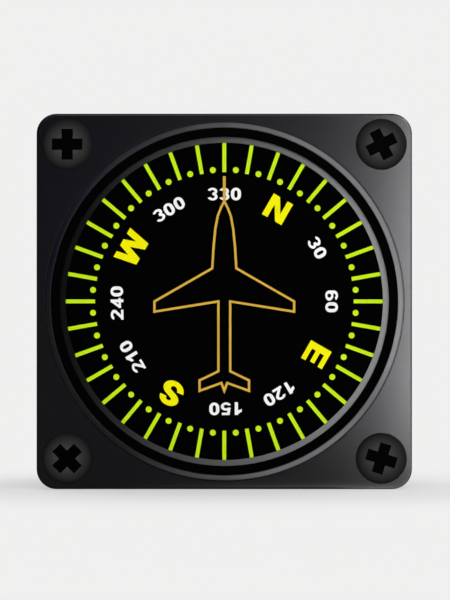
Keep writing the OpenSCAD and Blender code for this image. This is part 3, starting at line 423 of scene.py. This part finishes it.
frame_brass = metal_finish("turned_brass", (0.78, 0.6, 0.27, 1), (0.52, 0.36, 0.13, 1), 0.2, 0.38)
bearing_bronze = metal_finish("burnished_bronze", (0.72, 0.47, 0.21, 1), (0.45, 0.27, 0.1, 1), 0.15, 0.3)
spindle_steel = metal_finish("ground_steel", (0.72, 0.73, 0.75, 1), (0.5, 0.5, 0.52, 1), 0.18, 0.34,
                             axis=ALONG_Z)
drag_copper = metal_finish("turned_copper", (0.85, 0.45, 0.27, 1), (0.48, 0.2, 0.1, 1), 0.2, 0.4,
                           axis=ALONG_Z)
turned_aluminium = metal_finish("turned_aluminium", (0.8, 0.81, 0.82, 1), (0.6, 0.61, 0.63, 1), 0.22, 0.4)
magnet_alloy = metal_finish("ground_magnet_alloy", (0.42, 0.43, 0.45, 1), (0.24, 0.24, 0.26, 1), 0.35, 0.55,
                            rings=False, pitch=0.3 * MM)
small_screw = metal_finish("darkened_screw", (0.11, 0.1, 0.095, 1), (0.05, 0.046, 0.042, 1), 0.28, 0.45,
                           rings=False, pitch=0.25 * MM)
print("metals:", frame_brass.name, bearing_bronze.name, spindle_steel.name, drag_copper.name)

# %% [markdown]
# ## The black flange and the case
# The flange is satin black anodised metal: its dyed skin is dark but still mirrors softly, so it is
# metallic with a dark base. Its bevelled edge is painted near-black, a painted shade that draws a thin
# black line around the plate.
# The case behind the panel is sprayed with wrinkle paint, which dries into a fine worm-like relief, so it
# isn't metallic and carries a strong bump.

# %% Satin black flange
BEVEL_STARTS, BEVEL_ENDS = (0.03 * MM, 0.12 * MM), (0.5 * MM, 0.8 * MM)
RUB_SHARE = 0.25

flange_black, tree, shader, where = start_finish("satin_black_flange")
skin = marks(tree, fine_grain, Vector=where, Size=0.12 * MM)
clouds = marks(tree, tarnish, Vector=where, Size=20 * MM)
flange_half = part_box("front_flange")[1][0]
rim = marks(tree, rubbed_rim, Vector=where, Reach=flange_half, Width=0.5 * MM)
depth = put(tree, "ShaderNodeSeparateXYZ", {0: where}).outputs["Y"]
# painted shade: the bevelled edges just behind the front face are darkened to near-black
begun, ended = (ramp_between(tree, depth, flange_front + low, flange_front + high)
                for low, high in (BEVEL_STARTS, BEVEL_ENDS))
edge = maths(tree, "SUBTRACT", begun, ended)
dye = blend_colours(tree, clouds, (0.192, 0.191, 0.197, 1), (0.21, 0.209, 0.215, 1))
rubbed_dye = blend_colours(tree, times(tree, rim, RUB_SHARE), dye, (0.3, 0.3, 0.31, 1))
feed(tree, shader, Base_Color=blend_colours(tree, edge, rubbed_dye, (0.05, 0.05, 0.052, 1)), Metallic=1.0,
     Roughness=rougher(tree, skin, GRAIN_SPAN, 0.19, 0.22))
bump(tree, shader, skin, 0.0006 * MM)

# %% Wrinkle paint of the case
CASE_DUST = 0.25

case_paint, tree, shader, where = start_finish("black_wrinkle_paint")
worms = put(tree, "ShaderNodeTexNoise", {"Vector": where, "Scale": 1050.0, "Detail": 2.0, "Distortion": 1.8})
ridges = ramp_between(tree, worms.outputs[0], low=0.38, high=0.6)
specks = marks(tree, dust, Vector=where, Amount=0.6)
paint = blend_colours(tree, ridges, (0.012, 0.012, 0.013, 1), (0.024, 0.024, 0.026, 1))
dusty = blend_colours(tree, times(tree, specks, CASE_DUST), paint, (0.25, 0.24, 0.22, 1))
feed(tree, shader, Base_Color=dusty, Metallic=0.0, Roughness=rougher(tree, ridges, FULL_SPAN, 0.62, 0.42))
bump(tree, shader, ridges, 0.09 * MM)
print("flange half width:", round(flange_half / MM, 2), "mm")

# %% [markdown]
# ## Rings, gasket and glass
# The outer grey ring is dark anodised aluminium, turned on a lathe, so fine rings run around it and its
# slope catches the bright right-hand side of the room. Its rim is painted near-black as painted shade in
# the seam, which makes the seam to the flange a thin dark line. The inner ring, the dial mask, lies in the
# well behind the glass, where that light doesn't reach, so its grey is painted light: a painted highlight
# on the right that fades to painted shade on the left, as the photograph shows it. The gasket is plain
# black rubber. The glass only needs a thin skin of reflection: a clear shader lets lamps through to the
# dial, and a Fresnel factor mixes in the gloss, with a trace of dust.

# %% Outer grey ring
SEAM_INNER, SEAM_OUTER = 0.11 * MM, 0.05 * MM
RING_STREAKS = 0.3

ring_grey, tree, shader, where = start_finish("grey_turned_ring")
lines = marks(tree, lathe_rings, Vector=laid_along(tree, where), Pitch=0.08 * MM)
clouds = marks(tree, tarnish, Vector=where, Size=8 * MM)
tone = blend_colours(tree, clouds, (0.27, 0.27, 0.285, 1), (0.31, 0.31, 0.325, 1))
streaked = blend_colours(tree, times(tree, lines, RING_STREAKS), tone, (0.2, 0.2, 0.21, 1))
ring_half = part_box("bezel_ring")[1][0]
ring_xyz = put(tree, "ShaderNodeSeparateXYZ", {0: where}).outputs
from_middle = distance(tree, ring_xyz["X"], ring_xyz["Z"])
# painted shade: the ring's rim at the seam to the flange is darkened to near-black
seam_painted_shade = ramp_between(tree, from_middle, low=ring_half - SEAM_INNER, high=ring_half - SEAM_OUTER)
feed(tree, shader, Base_Color=blend_colours(tree, seam_painted_shade, streaked, (0.02, 0.02, 0.021, 1)), Metallic=1.0,
     Roughness=rougher(tree, lines, LINE_SPAN, 0.34, 0.44))
bump(tree, shader, lines, 0.001 * MM)
print("outer ring radius:", round(ring_half / MM, 2), "mm")

# %% Painted light on the dial mask: grey on the right fading to black on the left
TOWARDS_LIGHT = (0.996, 0.0, -0.087)
PAINTED_LIGHT_POWER, MASK_STREAKS = 1.8, 0.12

mask_painted_light, tree, shader, where = start_finish("mask_grey_painted_light")
lines = marks(tree, lathe_rings, Vector=laid_along(tree, where), Pitch=0.15 * MM)
mask_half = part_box("dial_mask")[1][0]
# painted light: grey on the side towards the light, fading to painted shade on the far side
side = put(tree, "ShaderNodeVectorMath", {0: where, 1: TOWARDS_LIGHT}, operation="DOT_PRODUCT")
from_dark = {"Value": side.outputs["Value"], "From Min": -mask_half, "From Max": mask_half}
even = put(tree, "ShaderNodeMapRange", from_dark)
painted_light_fade = maths(tree, "POWER", even.outputs["Result"], PAINTED_LIGHT_POWER)
tone = blend_colours(tree, painted_light_fade, (0.0056, 0.0056, 0.006, 1), (0.34, 0.34, 0.342, 1))
streaked = blend_colours(tree, times(tree, lines, MASK_STREAKS), tone, (0.0, 0.0, 0.0, 1))
feed(tree, shader, Base_Color=streaked, Metallic=0.0, Roughness=rougher(tree, lines, LINE_SPAN, 0.5, 0.65),
     Specular_IOR_Level=0.15)
bump(tree, shader, lines, 0.002 * MM)

# %% Black rubber
gasket_rubber, tree, shader, where = start_finish("black_rubber")
pores = marks(tree, fine_grain, Vector=where, Size=0.3 * MM)
soot = blend_colours(tree, pores, (0.0002, 0.0002, 0.0002, 1), (0.001, 0.001, 0.001, 1))
feed(tree, shader, Base_Color=soot, Metallic=0.0, Roughness=rougher(tree, pores, GRAIN_SPAN, 0.6, 0.8),
     Specular_IOR_Level=0.03)
bump(tree, shader, pores, 0.01 * MM)

# %% Clear glass
GLASS_DUST = 0.02

lens_clear, tree, shader, where = start_finish("clear_lens_glass")
specks = marks(tree, dust, Vector=where, Amount=0.35)
smear = marks(tree, tarnish, Vector=where, Size=15 * MM)
feed(tree, shader, Base_Color=blend_colours(tree, specks, (0.002, 0.002, 0.002, 1), (0.2, 0.195, 0.18, 1)),
     Metallic=0.0, Roughness=rougher(tree, smear, FULL_SPAN, 0.02, 0.06))
gloss = put(tree, "ShaderNodeFresnel", {"IOR": 1.2})
cover = larger(tree, gloss.outputs[0], times(tree, specks, GLASS_DUST))
clear = put(tree, "ShaderNodeBsdfTransparent", {"Color": (0.992, 0.994, 0.993, 1)})
pane = put(tree, "ShaderNodeMixShader", {0: cover, 1: clear.outputs[0], 2: shader.outputs[0]})
tree.links.new(pane.outputs[0], tree.nodes["Material Output"].inputs["Surface"])
print("rings, rubber and glass ready")

# %% [markdown]
# ## Dial black and the paints
# The dial is sprayed dead-flat black so that nothing distracts from the figures. White figures, yellow
# letters and the lime luminous marks are thick matt paint with a faint mottle and a soft bump, and the
# aeroplane is orange ink printed on the back of the glass.

# %% Dial black
dial_black, tree, shader, where = start_finish("flat_dial_black")
spray = marks(tree, fine_grain, Vector=where, Size=0.15 * MM)
soot = blend_colours(tree, spray, (0.0002, 0.0002, 0.0002, 1), (0.0012, 0.0012, 0.0012, 1))
feed(tree, shader, Base_Color=soot, Metallic=0.0, Roughness=rougher(tree, spray, GRAIN_SPAN, 0.75, 0.95),
     Specular_IOR_Level=0.02)
bump(tree, shader, spray, 0.004 * MM)

# %% Paints of the marks


def paint_finish(name, fresh, aged, grain_size=0.35 * MM, depth=0.01 * MM):
    finish, tree, shader, where = start_finish(name)
    mottle = marks(tree, fine_grain, Vector=where, Size=grain_size)
    fading = marks(tree, tarnish, Vector=where, Size=4 * MM)
    mask = times(tree, maths(tree, "ADD", mottle, fading), 0.5)
    feed(tree, shader, Base_Color=blend_colours(tree, mask, fresh, aged), Metallic=0.0,
         Roughness=rougher(tree, mottle, GRAIN_SPAN, 0.5, 0.7), Specular_IOR_Level=0.08)
    bump(tree, shader, mottle, depth)
    return finish


white_paint = paint_finish("white_figure_paint", (0.95, 0.945, 0.94, 1), (0.91, 0.905, 0.9, 1))
yellow_paint = paint_finish("yellow_letter_paint", (0.95, 0.9, 0.0015, 1), (0.9, 0.84, 0.0015, 1))
lime_paint = paint_finish("lime_luminous_paint", (0.58, 0.87, 0.01, 1), (0.53, 0.81, 0.008, 1),
                          grain_size=0.25 * MM, depth=0.02 * MM)
orange_ink = paint_finish("orange_printed_ink", (0.735, 0.44, 0.058, 1), (0.665, 0.395, 0.052, 1),
                          grain_size=0.2 * MM, depth=0.004 * MM)

# %% Ruby of the pivot jewels
ruby, tree, shader, where = start_finish("polished_ruby")
veins = marks(tree, tarnish, Vector=where, Size=0.8 * MM)
feed(tree, shader, Base_Color=blend_colours(tree, veins, (0.5, 0.01, 0.06, 1), (0.72, 0.03, 0.12, 1)),
     Metallic=0.0, Roughness=rougher(tree, veins, FULL_SPAN, 0.04, 0.1), Coat_Weight=0.5)
print("paints:", white_paint.name, yellow_paint.name, lime_paint.name, orange_ink.name)

# %% [markdown]
# ## The panel screws' finish
# The four large screws are blackened. A painted highlight turns the domed heads grey around the recess,
# brightest near the middle and broken up by a speckle, while their rims and the recess stay black. All
# four heads share one pattern: folding the coordinates with an absolute value brings every head onto the
# same spot. A point that lies deeper than the dome's own curve belongs to the recess.

# %% Blackened screw with a painted highlight on its crown
HEAD_R, DOME_HEIGHT = 5.6 * MM, 1.4 * MM
HIGHLIGHT_REACH = 1.3 * HEAD_R
RECESS_STARTS, RECESS_FULL = 0.05 * MM, 0.2 * MM

head_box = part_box("mounting_screws")
screw_x = head_box[1][0] - HEAD_R
head_front = head_box[0][1]
screw_black, tree, shader, where = start_finish("blackened_screw_painted_highlight")
part_xyz = put(tree, "ShaderNodeSeparateXYZ", {0: where}).outputs
folded = (maths(tree, "ABSOLUTE", part_xyz[axis]) for axis in "XZ")
fold_x, fold_z = (maths(tree, "SUBTRACT", half, screw_x) for half in folded)
from_axis = distance(tree, fold_x, fold_z)
# painted highlight: grey brightest on each head's axis, fading towards the rim and kept out of the recess
highlight_falloff = ramp_between(tree, from_axis, low=0.0, high=HIGHLIGHT_REACH, to_low=1.0, to_high=0.0)
dome_r = (HEAD_R ** 2 + DOME_HEIGHT ** 2) / (2 * DOME_HEIGHT)
rise_squared = maths(tree, "SUBTRACT", dome_r ** 2, maths(tree, "POWER", from_axis, 2.0))
sag = maths(tree, "SUBTRACT", dome_r, maths(tree, "SQRT", rise_squared))
below_front = maths(tree, "SUBTRACT", part_xyz["Y"], head_front)
below_dome = maths(tree, "SUBTRACT", below_front, sag)
outside = ramp_between(tree, below_dome, low=RECESS_STARTS, high=RECESS_FULL, to_low=1.0, to_high=0.0)
skin = marks(tree, fine_grain, Vector=where, Size=0.3 * MM)
speckle = ramp_between(tree, skin, low=0.1, high=0.8, to_low=0.85)
painted_highlight = times(tree, times(tree, highlight_falloff, outside), speckle)
black_and_highlight = blend_colours(tree, painted_highlight, (0.0008, 0.0008, 0.0008, 1), (0.053, 0.053, 0.054, 1))
feed(tree, shader, Base_Color=black_and_highlight, Metallic=0.0, Roughness=rougher(tree, skin, GRAIN_SPAN, 0.42, 0.55),
     Specular_IOR_Level=0.02)
bump(tree, shader, skin, 0.004 * MM)
print("screw axes at +-", round(screw_x / MM, 2), "mm")

# %% [markdown]
# ## Dress the CAD nodes
# The record names a material slot for each node. This table maps every slot to its finish. The flange
# keeps the smooth satin finish, while the can and the cover of the same slot get the wrinkle paint.

# %% Give every node its finish
finish_of_slot = {
    "case_black": case_paint, "ring_grey": ring_grey, "black_rubber": gasket_rubber, "lens_glass": lens_clear,
    "orange_ink": orange_ink, "screw_black": screw_black, "screw_dark": small_screw,
    "frame_brass": frame_brass, "bearing_bronze": bearing_bronze, "spindle_steel": spindle_steel,
    "ruby_jewel": ruby, "copper": drag_copper, "dial_black": dial_black, "luminous_paint": lime_paint,
    "white_paint": white_paint, "yellow_paint": yellow_paint, "bare_aluminium": turned_aluminium,
    "magnet_alloy": magnet_alloy,
}
finish_of_node = {"front_flange": flange_black, "dial_mask": mask_painted_light}


def dress(piece, finish):
    for slot in piece.material_slots:
        slot.link = "OBJECT"
        slot.material = finish


for subpart in frame["record"]["subparts"]:
    name = subpart["node"]
    dress(node_object[name], finish_of_node.get(name, finish_of_slot[subpart["material_slot"]]))

# %% [markdown]
# ## Threads on the panel screws
# In the CAD model the panel screws end in plain pins. A real thread shows in every view from the side, so
# each screw keeps the CAD's head and shoulder, cut off just behind the flange, and gets a turned core with
# a helical ridge. The ridge is a small flat-topped section, spun around the core and moved along by one
# pitch with every turn: spin does both at once when it is given a step vector. The thread is right-handed,
# so it moves along +Y while it turns from Z towards X. Behind the flange the screws keep the darkened
# brass of the small screws. The photograph's outer ring shows no dark patch beside the heads, so the
# screws are left out of the mirrors.

# %% Head and shoulder from the CAD, cut behind the flange
CUT_Y = 0.3 * MM
WELD = 1e-7

screws = bmesh.new()
screws.from_mesh(node_object["mounting_screws"].data)
bmesh.ops.remove_doubles(screws, verts=screws.verts, dist=WELD)
bmesh.ops.bisect_plane(screws, geom=[*screws.verts, *screws.edges, *screws.faces], dist=WELD / 10,
                       plane_co=(0, CUT_Y, 0), plane_no=(0, 1, 0), clear_outer=True)
bmesh.ops.holes_fill(screws, edges=[edge for edge in screws.edges if edge.is_boundary], sides=0)
print("heads:", len(screws.faces), "faces, open edges:", sum(edge.is_boundary for edge in screws.edges))

# %% Core and ridge for each screw
CORE_R, CREST_R, PITCH = 2.05 * MM, 2.4 * MM, 0.8 * MM
OVERLAP, TIP_BEVEL, RUN_OUT = 0.05 * MM, 0.5 * MM, 0.6 * MM
ROOT_HALF, CREST_HALF = 0.36 * PITCH, 0.06 * PITCH


def spin_full(bm, points, centre):
    start = [bm.verts.new(point) for point in points]
    edges = [bm.edges.new(pair) for pair in zip(start, start[1:])]
    bmesh.ops.spin(bm, geom=[*start, *edges], cent=centre, axis=(0, 1, 0), angle=2 * pi, steps=32,
                   use_merge=True)


def spin_ridge(bm, points, centre, turns, steps_per_turn=24):
    section = bm.faces.new([bm.verts.new(point) for point in points])
    bmesh.ops.spin(bm, geom=[section], cent=centre, axis=(0, 1, 0), angle=2 * pi * turns,
                   steps=round(turns * steps_per_turn), dvec=(0, PITCH / steps_per_turn, 0), use_merge=False)


tip_y = head_box[1][1]
first = CUT_Y + 0.5 * PITCH
turns = (tip_y - RUN_OUT - first) / PITCH - 0.5
core = [(0, CUT_Y - OVERLAP), (CORE_R, CUT_Y - OVERLAP), (CORE_R, tip_y - TIP_BEVEL),
        (CORE_R - TIP_BEVEL, tip_y), (0, tip_y)]
ridge = [(CORE_R - OVERLAP, -ROOT_HALF), (CREST_R, -CREST_HALF), (CREST_R, CREST_HALF),
         (CORE_R - OVERLAP, ROOT_HALF)]
for x in (-screw_x, screw_x):
    for z in (-screw_x, screw_x):
        spin_full(screws, [(x, y, z + r) for r, y in core], (x, 0, z))
        spin_ridge(screws, [(x, first + y, z + r) for r, y in ridge], (x, 0, z), turns)
bmesh.ops.remove_doubles(screws, verts=screws.verts, dist=WELD)
bmesh.ops.recalc_face_normals(screws, faces=screws.faces)
for face in screws.faces:
    face.material_index = 1 if face.calc_center_median().y > 0.0 else 0
panel_screws = new_object("panel_screws", screws, screw_black, small_screw)
panel_screws.visible_glossy = False
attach(panel_screws, "case")
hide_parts("mounting_screws")
print("panel screws:", len(panel_screws.data.polygons), "faces")

# %% [markdown]
# ## The aeroplane, printed just behind the glass
# In the CAD model the aeroplane's ink touches the back of the glass, so both faces lie in one plane, and a
# light ray can't tell which of them it meets first: the lines would turn out patchy. The printed copy
# stands a fiftieth of a millimetre behind the glass instead.

# %% Printed copy of the aeroplane
INK_GAP = 0.02 * MM

ink = bmesh.new()
ink.from_mesh(node_object["aeroplane_mark"].data)
bmesh.ops.remove_doubles(ink, verts=ink.verts, dist=WELD)
bmesh.ops.translate(ink, verts=ink.verts, vec=(0, INK_GAP, 0))
bmesh.ops.recalc_face_normals(ink, faces=ink.faces)
print("aeroplane:", len(ink.faces), "faces, open edges:", sum(edge.is_boundary for edge in ink.edges))
printed_aeroplane = new_object("printed_aeroplane", ink, orange_ink)
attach(printed_aeroplane, "case")
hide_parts("aeroplane_mark")

# %% [markdown]
# ## A pen for the dial's figures
# Blender's own font is too thin for a cockpit dial, so the heavy figures are drawn with a flat pen. A
# straight run is one face between its corners, a bowl is a short edge spun around its centre, and a closed
# bowl is two circles bridged into a ring. For the S the pen's nib is extruded step by step along a curve
# through seven knots, and swells on the way. Each stroke is then raised to paint thickness. Strokes that
# cross are raised to slightly different heights, so no two of their tops lie in the same plane. All
# strokes are drawn one unit high, with the figure's middle at x = 0.

# %% Pen strokes
CURVE_POINTS = 10
LAYER_STEP = 0.04
BOWL_STEP, LEAST_STEPS = 9, 6


def raise_stroke(bm, faces, order):
    lifted = bmesh.ops.extrude_face_region(bm, geom=faces, use_keep_orig=True)["geom"]
    tops = [part for part in lifted if isinstance(part, bmesh.types.BMVert)]
    bmesh.ops.translate(bm, verts=tops, vec=(0.0, 0.0, 1.0 - LAYER_STEP * order))


def pen_run(bm, order, *corners):
    raise_stroke(bm, [bm.faces.new([bm.verts.new((x, y, 0.0)) for x, y in corners])], order)


def pen_bowl(bm, order, centre, outer, width, start, sweep):
    begin = radians(start)
    radii = (outer - width, outer)
    ends = [bm.verts.new((centre[0] + r * cos(begin), centre[1] + r * sin(begin), 0.0)) for r in radii]
    nib = bm.edges.new(ends)
    known = set(bm.faces)
    bmesh.ops.spin(bm, geom=[*ends, nib], cent=(*centre, 0.0), axis=(0.0, 0.0, 1.0), angle=radians(sweep),
                   steps=max(LEAST_STEPS, round(abs(sweep) / BOWL_STEP)), use_merge=False,
                   use_normal_flip=False, use_duplicate=False)
    raise_stroke(bm, [face for face in bm.faces if face not in known], order)


def pen_curve(bm, order, knots, width, swell):
    """knots: a point, and the pull of the pen there, which bends the curve before and after it"""
    path = []
    for first, second in zip(knots, knots[1:]):
        here, pull, there, next_pull = (Vector((*pair, 0.0)) for pair in (*first, *second))
        path = path[:-1] + interpolate_bezier(here, here + pull, there - next_pull, there, CURVE_POINTS)
    last = len(path) - 1
    nib_places = []
    for step, point in enumerate(path):
        along = (path[min(step + 1, last)] - path[max(step - 1, 0)]).normalized()
        half_width = (width + swell * sin(pi * step / last) ** 2) / 2
        side = Vector((-along.y, along.x, 0.0)) * half_width
        turn = Matrix((side, along, Vector((0.0, 0.0, 1.0)))).transposed().to_4x4()
        nib_places.append(Matrix.Translation(point) @ turn)
    known = set(bm.faces)
    ends = [bm.verts.new(nib_places[0] @ Vector((end, 0.0, 0.0))) for end in (-1.0, 1.0)]
    nib = bm.edges.new(ends)
    for before, after in zip(nib_places, nib_places[1:]):
        grown = bmesh.ops.extrude_edge_only(bm, edges=[nib])["geom"]
        ends = [part for part in grown if isinstance(part, bmesh.types.BMVert)]
        bmesh.ops.transform(bm, matrix=after @ before.inverted(), verts=ends)
        nib = bm.edges.get(ends)
    raise_stroke(bm, [face for face in bm.faces if face not in known], order)


def pen_ring(bm, order, centre, outer, inner, straight=0.0, segments=40):
    known = set(bm.faces)
    loops = []
    for half_w, half_h in (outer, inner):
        ring = bmesh.ops.create_circle(bm, cap_ends=False, radius=1.0, segments=segments)["verts"]
        bmesh.ops.scale(bm, verts=ring, vec=(half_w, half_h - straight, 1.0))
        for sign in (-1, 1):
            end = [vert for vert in ring if vert.co.y * sign > 1e-6]
            bmesh.ops.translate(bm, verts=end, vec=(0.0, straight * sign, 0.0))
        bmesh.ops.translate(bm, verts=ring, vec=(*centre, 0.0))
        loops += {edge for vert in ring for edge in vert.link_edges}
    bmesh.ops.bridge_loops(bm, edges=loops)
    raise_stroke(bm, [face for face in bm.faces if face not in known], order)


# %% Figures, one unit high


def draw_0(bm):
    pen_ring(bm, 0, (0.0, 0.5), (0.38, 0.5), (0.125, 0.3), straight=0.1)


def draw_1(bm):
    pen_run(bm, 0, (-0.03, 0.0), (0.23, 0.0), (0.23, 1.0), (-0.03, 1.0))
    pen_run(bm, 1, (-0.33, 0.53), (0.0, 0.65), (0.06, 0.995), (-0.33, 0.74))


def draw_2(bm):
    pen_bowl(bm, 0, (0.0, 0.705), outer=0.295, width=0.18, start=172, sweep=-212)
    pen_run(bm, 1, (0.085, 0.635), (0.228, 0.52), (-0.02, 0.17), (-0.29, 0.1))
    pen_run(bm, 2, (-0.295, 0.0), (0.29, 0.0), (0.29, 0.19), (-0.295, 0.19))


def draw_3(bm):
    pen_bowl(bm, 0, (-0.01, 0.715), outer=0.285, width=0.175, start=165, sweep=-255)
    pen_bowl(bm, 1, (0.0, 0.295), outer=0.295, width=0.175, start=90, sweep=-255)


def draw_4(bm):
    pen_run(bm, 0, (0.05, 0.0), (0.24, 0.0), (0.24, 1.0), (0.05, 1.0))
    pen_run(bm, 1, (-0.32, 0.19), (0.33, 0.19), (0.33, 0.37), (-0.32, 0.37))
    pen_run(bm, 2, (-0.32, 0.33), (-0.12, 0.33), (0.1, 0.72), (0.1, 1.0))


def draw_5(bm):
    pen_run(bm, 0, (-0.22, 0.81), (0.26, 0.81), (0.26, 1.0), (-0.22, 1.0))
    pen_run(bm, 1, (-0.29, 0.42), (-0.1, 0.45), (-0.06, 0.98), (-0.22, 0.98))
    pen_bowl(bm, 2, (-0.01, 0.325), outer=0.325, width=0.18, start=150, sweep=-308)


def draw_6(bm):
    pen_ring(bm, 0, (0.0, 0.315), (0.3, 0.315), (0.12, 0.15))
    pen_run(bm, 1, (-0.3, 0.3), (-0.115, 0.3), (-0.115, 0.7), (-0.3, 0.7))
    pen_bowl(bm, 2, (0.0, 0.7), outer=0.3, width=0.18, start=180, sweep=-155)


# %% Letters, one unit high


def draw_N(bm):
    pen_run(bm, 0, (-0.47, 0.0), (-0.205, 0.0), (-0.205, 1.0), (-0.47, 1.0))
    pen_run(bm, 1, (0.205, 0.0), (0.47, 0.0), (0.47, 1.0), (0.205, 1.0))
    pen_run(bm, 2, (-0.43, 0.99), (-0.16, 0.99), (0.43, 0.01), (0.16, 0.01))


def draw_E(bm):
    pen_run(bm, 0, (-0.42, 0.0), (-0.13, 0.0), (-0.13, 1.0), (-0.42, 1.0))
    bars = ((0.0, 0.215, 0.44), (0.4, 0.6, 0.38), (0.79, 1.0, 0.42))
    for order, (low, high, right) in enumerate(bars, 1):
        pen_run(bm, order, (-0.41, low), (right, low), (right, high), (-0.41, high))


def draw_S(bm):
    knots = (
        ((0.186, 0.69), (0.0, 0.115)), ((0.0, 0.905), (-0.115, 0.0)), ((-0.198, 0.705), (0.0, -0.105)),
        ((0.0, 0.505), (0.115, -0.052)),
        ((0.21, 0.285), (0.0, -0.12)), ((0.0, 0.055), (-0.125, 0.0)), ((-0.232, 0.32), (-0.005, 0.14)),
    )
    pen_curve(bm, 0, knots, width=0.205, swell=0.035)


def draw_W(bm):
    half = 0.14
    strokes = ((-0.56, -0.365), (-0.005, -0.355), (0.005, 0.355), (0.56, 0.365))
    for order, (top, foot) in enumerate(strokes):
        pen_run(bm, order, (foot - half, 0.0), (foot + half, 0.0), (top + half, 1.0), (top - half, 1.0))


# name: how to draw it, its width stretch, and the width it takes up
glyphs = {
    "0": (draw_0, 1.05, 0.8), "1": (draw_1, 1.0, 0.8), "2": (draw_2, 1.34, 0.8), "3": (draw_3, 1.34, 0.8),
    "4": (draw_4, 1.21, 0.8), "5": (draw_5, 1.28, 0.8), "6": (draw_6, 1.34, 0.8),
    "N": (draw_N, 1.0, 0.94), "E": (draw_E, 1.0, 0.86), "S": (draw_S, 1.4, 0.9), "W": (draw_W, 1.01, 1.44),
}
print("glyphs:", " ".join(glyphs))

# %% [markdown]
# ## Paint the labels on the dial
# Labels stand every 30 degrees, their tops pointing outward. The compass is drawn on a heading of 330
# degrees, so that label is at the top, and the others follow clockwise. Five labels of the photo were set
# not quite a degree back from their even places, and so they are here. A label is built flat, then one
# matrix carries it to the dial: its columns are the label's right, its up and the direction out of the
# dial, scaled to size. The feet of the paint sink a little into the dial, so no face lies exactly on the
# dial's own face.

# %% Place the twelve labels
FIGURE_RADIUS, FIGURE_HEIGHT = 23.7 * MM, 2.8 * MM
LETTER_RADIUS, LETTER_HEIGHT = 23.5 * MM, 5.25 * MM
GAP = 0.12
SINK = 0.02 * MM
HEADING = 330
SET_BACK, SET_BACK_LABELS = 0.9, (120, 150, 210, 240, 300)

dial_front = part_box("dial_card")[0][1]
paint_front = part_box("dial_ticks")[0][1]


def paint_label(text, heading, reach, height, finish):
    bm = bmesh.new()
    widths = [glyphs[sign][2] for sign in text]
    left = -(sum(widths) + GAP * (len(text) - 1)) / 2
    for sign, width in zip(text, widths):
        draw, stretch, _ = glyphs[sign]
        known = set(bm.verts)
        draw(bm)
        fresh = [vert for vert in bm.verts if vert not in known]
        bmesh.ops.scale(bm, verts=fresh, vec=(stretch, 1.0, 1.0))
        bmesh.ops.translate(bm, verts=fresh, vec=(left + width / 2, -0.5, 0.0))
        left += width + GAP
    angle = radians(heading - HEADING - (SET_BACK if heading in SET_BACK_LABELS else 0.0))
    right = Vector((cos(angle), 0, -sin(angle)))
    up = Vector((sin(angle), 0, cos(angle)))
    out = Vector((0, -1, 0))
    thickness = dial_front - paint_front + SINK
    place = Matrix.Translation(up * reach + Vector((0, dial_front + SINK, 0)))
    turn = Matrix((right * height, up * height, out * thickness)).transposed().to_4x4()
    bmesh.ops.transform(bm, matrix=place @ turn, verts=bm.verts)
    bmesh.ops.recalc_face_normals(bm, faces=bm.faces)
    label = new_object("label_" + text, bm, finish)
    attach(label, "card")
    return label


labels = [paint_label(text, heading, LETTER_RADIUS, LETTER_HEIGHT, yellow_paint)
          for text, heading in (("N", 0), ("E", 90), ("S", 180), ("W", 270))]
labels += [paint_label(str(heading), heading, FIGURE_RADIUS, FIGURE_HEIGHT, white_paint)
           for heading in range(30, 360, 30) if heading % 90]
print("labels:", [label.name for label in labels])
